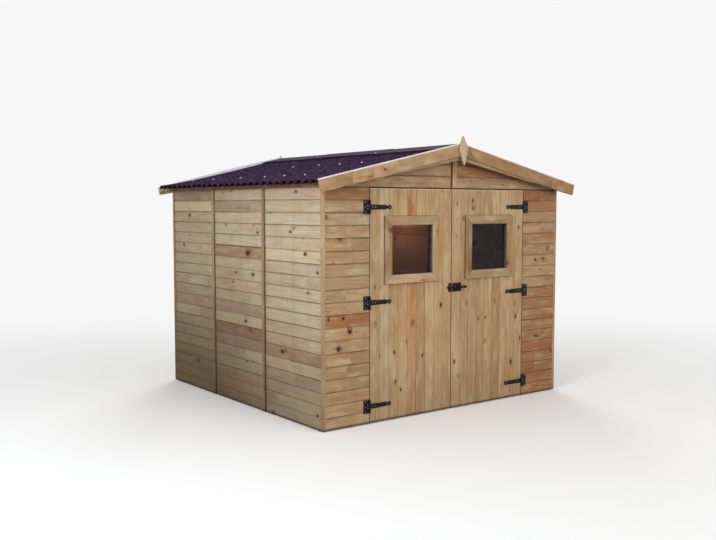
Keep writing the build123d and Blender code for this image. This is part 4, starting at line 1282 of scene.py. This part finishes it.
def bargeboard(end, side):
    """A bargeboard in jointed lengths; the rear ones taper towards the eave."""
    node = f"{end}_{side}_bargeboard"
    piece = Piece(f"{node}_jointed")
    whole, = solids(node)
    along, out = grain_directions(whole)
    low, high = limits(whole)
    level = Vector((math.copysign(1, low.x + high.x), 0, 0))
    if end == "rear":
        start, loss = REAR_TAPER
        shoulder = level * start + UP * (high.z - BARGE_SLOPE * start)
        clip(whole, shoulder, level * (BARGE_SLOPE + loss / (high.x - low.x - start)) + UP)
    joints = (0.0, *BARGE_JOINTS, high.x - low.x)
    for first, last, warmth in zip(joints, joints[1:], BARGE_WARMTH[side]):
        part = clip(clip(whole.copy(), level * last, level), level * first, -level)
        soften(part, BARGE_ARRIS)
        piece.take(part, along, out, random_tone(warmth))
    whole.free()
    return piece.finish("shed", "trim", TRIM_WOOD, node)


def timbers():
    """Framing, purlins, trims, battens, bargeboards, finials and the doors' ledges."""
    for node in ("left_wall_studs", "left_wall_rails", "right_wall_studs", "right_wall_rails",
                 "rear_wall_studs", "rear_wall_rails", "front_wall_posts", "front_wall_rails",
                 "gable_frames", "middle_purlins", "ridge_beam"):
        dress(node, "shed", "framing", FRAMING_WOOD, TIMBER_ARRIS)
    dress("eave_purlins", "shed", "framing", FRAMING_WOOD, TIMBER_ARRIS, EAVE_WARMTH)
    for node, warmth, seat in TRIM_LOOKS:
        dress(node, "shed", "trim", TRIM_WOOD, TIMBER_ARRIS, warmth, seat)
    for end in ENDS:
        dress(f"{end}_finial", "shed", "trim", FINIAL_WOOD, TIMBER_ARRIS, seat=FINIAL_SEAT)
        for side in SIDES:
            bargeboard(end, side)
    for side in SIDES:
        dress(f"{side}_door_ledges", f"{side}_door", "framing", FRAMING_WOOD, TIMBER_ARRIS)


def ironwork():
    """Hinge straps and flanges, and the bolt with its plate and keeper."""
    for node, body in (("left_hinge_straps", "left_door"), ("right_hinge_straps", "right_door"),
                       ("hinge_flanges", "shed"), ("bolt_keeper", "left_door"),
                       ("bolt_plate", "right_door"), ("bolt_rod", "right_door")):
        dress(node, body, "black_steel", BLACK_STEEL, IRON_ARRIS)


def screws(name, body, places, material):
    """Cross-head screws at (x, z) places on the doors' side."""
    out = Vector((0, -1, 0))
    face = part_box("bolt_plate")[1].y - FITTING_PLATE
    piece = Piece(name)
    for x, z in places:
        piece.take(turned(Vector((x, face, z)), out, SCREW_RINGS, SCREW_SIDES, SCREW_CROSS),
                   UP, out)
    return piece.finish(body, "black_steel", material)


def hinge_screws():
    """Five screws through each flange and three through each strap."""
    flange_places = []
    for low, high in boxes("hinge_flanges"):
        sign = math.copysign(1, low.x)
        outer, inner = max(abs(low.x), abs(high.x)), min(abs(low.x), abs(high.x))
        for x, z in FLANGE_SCREWS:
            place = (sign * (outer - (outer - inner) * x), low.z + (high.z - low.z) * z)
            flange_places.append(place)
    screws("flange_screws", "shed", flange_places, SCREW_STEEL)
    for side in SIDES:
        strap_places = []
        for low, high in boxes(f"{side}_hinge_straps"):
            inner, outer = sorted((abs(low.x), abs(high.x)))
            for share in STRAP_SCREWS:
                x = math.copysign(inner + (outer - inner) * share, low.x)
                strap_places.append((x, (low.z + high.z) / 2))
        screws(f"{side}_strap_screws", f"{side}_door", strap_places, SCREW_STEEL)


def bolt_screws():
    """Painted screws in the corners of the bolt's plate and its keeper's."""
    for node, body in (("bolt_plate", "right_door"), ("bolt_keeper", "left_door")):
        low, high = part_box(node)
        inset = Vector((BOLT_SCREW_INSET, 0, BOLT_SCREW_INSET))
        low, high = low + inset, high - inset
        if node == "bolt_keeper":
            low.x, high.x = KEEPER_SCREWS
        places = [(x, z) for x in (low.x, high.x) for z in (low.z, high.z)]
        screws(f"{node}_screws", body, places, BLACK_STEEL)


def nail_heads():
    """Small flat nail heads where boards are fixed to their studs and ledges."""
    for body, spots in nails.items():
        piece = Piece(f"{body}_nail_heads")
        for spot, out in spots:
            piece.take(turned(spot, out, NAIL_RINGS, NAIL_SIDES), UP, out)
        piece.finish(body, "black_steel", NAIL_IRON)


def panes():
    """The window panes keep their solids and take their glass."""
    for side in SIDES:
        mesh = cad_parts[f"{side}_window_pane"].data
        mesh.materials.clear()
        mesh.materials.append(PANE_GLASS)


# ---------------------------------------------------------------- roof
def roof_frame(side):
    """The eave's inner corner, the ways up the slope and off it, and the slope's length."""
    low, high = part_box(f"{side}_roof_sheet")
    sign = -1 if side == "left" else 1
    reach = max(abs(low.x), abs(high.x))
    up_slope = Vector((-sign * math.cos(ROOF_ANGLE), 0, math.sin(ROOF_ANGLE)))
    off = Vector((sign * math.sin(ROOF_ANGLE), 0, math.cos(ROOF_ANGLE)))
    return Vector((sign * reach, low.y, low.z)), up_slope, off, (reach - RIDGE_GAP) / math.cos(ROOF_ANGLE)


def wave(count):
    """Height of the corrugation after a number of waves, 0 in a valley and 1 on a crest."""
    return (1 - math.cos(2 * math.pi * count)) / 2


def sheet_height(count, first, share):
    """Height of a sheet's underside off the slope, some waves along and part of the way up it."""
    lift = SHEET_LIFT * max(0.0, min(1.0, 2.0 - (count - first))) if first > 0 else 0.0
    rear = max(0.0, (count - WAVES + PRESSED_WAVES) / PRESSED_WAVES)
    pressed = 1 - PRESSED_SHARE * rear * math.sin(math.pi * share ** PRESSED_LEAN)
    return wave(count) * WAVE_RISE * pressed + lift


def sheet_skin(piece, corner, up_slope, off, length, first, last, pitch):
    """One corrugated sheet from one wave to another, lifted where it laps the sheet before it."""
    steps = round((last - first) * WAVE_STEPS)
    trim = draw.uniform(0.0, SHEET_TRIM)
    sag = sum(draw.uniform(-SHEET_SAG, SHEET_SAG) for end in range(2)) / 2
    layers, depths = [], []
    bm = bmesh.new()
    for layer in (0, 1):
        rows = []
        for j in range(steps + 1):
            count = first + j / WAVE_STEPS
            row = []
            for i in range(SLOPE_STEPS + 1):
                share = i / SLOPE_STEPS
                bow = max(0.0, sag * math.sin(math.pi * share) * (1 - wave(count)))
                height = sheet_height(count, first, share) + layer * SHEET_THICKNESS + bow
                spot = corner + up_slope * (trim + (length - trim) * share) + off * height
                spot.y = corner.y + count * pitch
                row.append(bm.verts.new(spot))
                depths.append(1 - wave(count) if layer else UNDERSIDE_SHADE)
            rows.append(row)
        layers.append(rows)
    under, over = layers
    for j in range(steps):
        for i in range(SLOPE_STEPS):
            bm.faces.new((over[j][i], over[j + 1][i], over[j + 1][i + 1], over[j][i + 1]))
            bm.faces.new((under[j][i], under[j][i + 1], under[j + 1][i + 1], under[j + 1][i]))
        for i in (0, SLOPE_STEPS):
            bm.faces.new((under[j][i], under[j + 1][i], over[j + 1][i], over[j][i]))
    for j in (0, steps):
        for i in range(SLOPE_STEPS):
            bm.faces.new((under[j][i], over[j][i], over[j][i + 1], under[j][i + 1]))
    bmesh.ops.recalc_face_normals(bm, faces=bm.faces)
    start = len(piece.crevice)
    piece.take(bm, up_slope, off)
    piece.crevice[start:] = depths


def roof_sheets(side):
    """The lapped corrugated sheets of one slope."""
    node = f"{side}_roof_sheet"
    corner, up_slope, off, length = roof_frame(side)
    low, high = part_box(node)
    pitch = (high.y - low.y) / WAVES
    piece = Piece(f"{side}_roof_sheets_lapped")
    for first in SHEET_STARTS:
        last = min(WAVES, first + SHEET_WAVES)
        sheet_skin(piece, corner, up_slope, off, length, first, last, pitch)
    return piece.finish("shed", "roof_sheet", ROOF_SHEET, node)


def cap_section():
    """(across, height from the slopes' crossing) points over the ridge, rounded at the middle."""
    foot = -CAP_HALF_WIDTH * ROOF_SLOPE
    points = [(-CAP_HALF_WIDTH, foot)]
    for i in range(CAP_STEPS + 1):
        turn = ROOF_ANGLE * (2 * i / CAP_STEPS - 1)
        drop = CAP_RADIUS / math.cos(ROOF_ANGLE) - CAP_RADIUS * math.cos(turn)
        points.append((CAP_RADIUS * math.sin(turn), -drop))
    return points + [(CAP_HALF_WIDTH, foot)]


def ridge_cap():
    """Three lapped lengths of ridge cap with a rounded top."""
    low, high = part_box("ridge_cap")
    piece = Piece("ridge_cap_lapped")
    points = cap_section()
    apex = high.z - points[len(points) // 2][1] - CAP_THICKNESS
    outer = [(x, apex + z + CAP_THICKNESS) for x, z in points]
    inner = [(x, apex + z) for x, z in reversed(points)]
    laps = len(CAP_LIFTS) - 1
    run = (high.y - low.y + laps * CAP_LAP) / len(CAP_LIFTS)
    for k, lift in enumerate(CAP_LIFTS):
        start = low.y + k * (run - CAP_LAP)
        ends = [Vector((0, y, lift)) for y in (start, start + run)]
        bm = extrusion(outer + inner, *ends, Vector((1, 0, 0)), UP)
        soften(bm, ARRIS)
        piece.take(bm, Vector((0, 1, 0)), UP)
    return piece.finish("shed", "roof_sheet", ROOF_SHEET, "ridge_cap")


def roof_nails():
    """Capped nails on the crests over the eave and middle purlins, and along the ridge cap."""
    piece = Piece("roof_nail_caps")
    cap_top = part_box("ridge_cap")[1].z
    for side in SIDES:
        corner, up_slope, off = roof_frame(side)[:3]
        low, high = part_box(f"{side}_roof_sheet")
        pitch = (high.y - low.y) / WAVES
        spots = []
        for reach, crests in NAIL_ROWS:
            foot = corner + up_slope * ((abs(corner.x) - reach) / math.cos(ROOF_ANGLE))
            spots += [(foot + off * (WAVE_RISE + SHEET_THICKNESS), crest) for crest in crests]
        foot = Vector((math.copysign(CAP_NAIL_REACH, corner.x), 0,
                       cap_top - CAP_NAIL_REACH * ROOF_SLOPE))
        spots += [(foot, crest) for crest in CAP_NAIL_CRESTS]
        for spot, crest in spots:
            spot = spot.copy()
            spot.y = corner.y + (crest + 0.5) * pitch
            piece.take(turned(spot, off, NAIL_CAP_RINGS, NAIL_CAP_SIDES), UP, off)
    return piece.finish("shed", "roof_sheet", NAIL_CAPS)


# ---------------------------------------------------------------- stage, light and camera
def pale_ground():
    """A wide pale floor that fades into the pale surroundings."""
    bpy.ops.mesh.primitive_circle_add(vertices=96, radius=FLOOR_RADIUS, fill_type="NGON")
    floor = bpy.context.object
    floor.name = "pale_floor"
    material, n, shader = new_material("pale_floor")
    rest = n.add("TexCoord").outputs["Object"]
    grain = n.step(n.noise(rest, 30.0, 3.0), 0.0, 1.0, 0.62, 0.64)
    path = n.add("LightPath").outputs
    level = n.math("MULTIPLY_ADD", path["Is Camera Ray"], 0.32, grain)
    n.coat(shader, n.join(level, level, level), 0.9)
    away = n.step(n.add("VectorMath", {0: rest}, operation="LENGTH").outputs["Value"], 2.4, 7.0)
    away = n.math("MULTIPLY", away, n.backdrop_rays(path))
    glow = n.add("Emission", {"Color": (1, 1, 1, 1), "Strength": SURROUND})
    fade = n.add("MixShader", {0: away, 1: shader.outputs[0], 2: glow.outputs[0]})
    n.feed(material.node_tree.nodes["Material Output"].inputs["Surface"], fade.outputs[0])
    floor.data.materials.append(material)


def surroundings():
    """Even light from all round, seen by the camera, gloss and glass as a pale backdrop."""
    world = bpy.data.worlds.new("surroundings")
    bpy.context.scene.world = world
    world.use_nodes = True
    n = Nodes(world.node_tree)
    seen = n.backdrop_rays(n.add("LightPath").outputs)
    background = world.node_tree.nodes["Background"].inputs
    n.feed(background["Strength"], n.step(seen, 0.0, 1.0, WORLD_LIGHT, SURROUND))
    n.feed(background["Color"], (1, 1, 1, 1))


def soft_lamp(name, place, aim, size, power, tint):
    """A square area lamp that looks at a point."""
    lamp = bpy.data.lights.new(name, "AREA")
    lamp.size, lamp.energy, lamp.color = size, power, tint
    holder = bpy.data.objects.new(name, lamp)
    bpy.context.scene.collection.objects.link(holder)
    holder.location = place
    holder.rotation_euler = (Vector(aim) - Vector(place)).to_track_quat("-Z", "Y").to_euler()
    holder.visible_camera = False
    holder.visible_transmission = False


def lights():
    """A cool lamp off the front left corner, others in front and behind, and a dim one inside."""
    soft_lamp("left_lamp", (-5.8, -3.2, 3.6), (-1.2, -0.6, 1.0), 2.6, 188, (0.95, 0.98, 1.0))
    soft_lamp("front_lamp", (0.5, -8.5, 3.4), (0, 0, 1.2), 4.0, 172, (1.0, 0.98, 0.95))
    soft_lamp("inside_lamp", (0.86, 0.86, 1.5), (1.2, 0.80, 1.28), 0.16, 1.35, (1.0, 0.50, 0.27))
    soft_lamp("rear_lamp", (5.0, 7.0, 6.0), (0, 0, 1.0), 4.0, 300, (1.0, 1.0, 1.0))


def camera():
    """The camera stands off the front left corner at eye height."""
    lens = bpy.data.cameras.new("camera")
    lens.lens, lens.sensor_width = CAMERA_LENS
    lens.shift_x = lens.shift_y = CAMERA_SHIFT
    holder = bpy.data.objects.new("camera", lens)
    bpy.context.scene.collection.objects.link(holder)
    up, turn = CAMERA_TURN
    holder.location = CAMERA_PLACE
    holder.rotation_euler = (math.radians(90 + up), 0, math.radians(turn))
    bpy.context.scene.camera = holder


# ---------------------------------------------------------------- the shed
walls()
for side in SIDES:
    door_leaf(side)
    window_casing(side)
    glazing_beads(side)
    roof_sheets(side)
timbers()
ironwork()
hinge_screws()
bolt_screws()
nail_heads()
panes()
ridge_cap()
roof_nails()

pale_ground()
surroundings()
lights()
camera()
bpy.context.scene.view_settings.view_transform = "Standard"
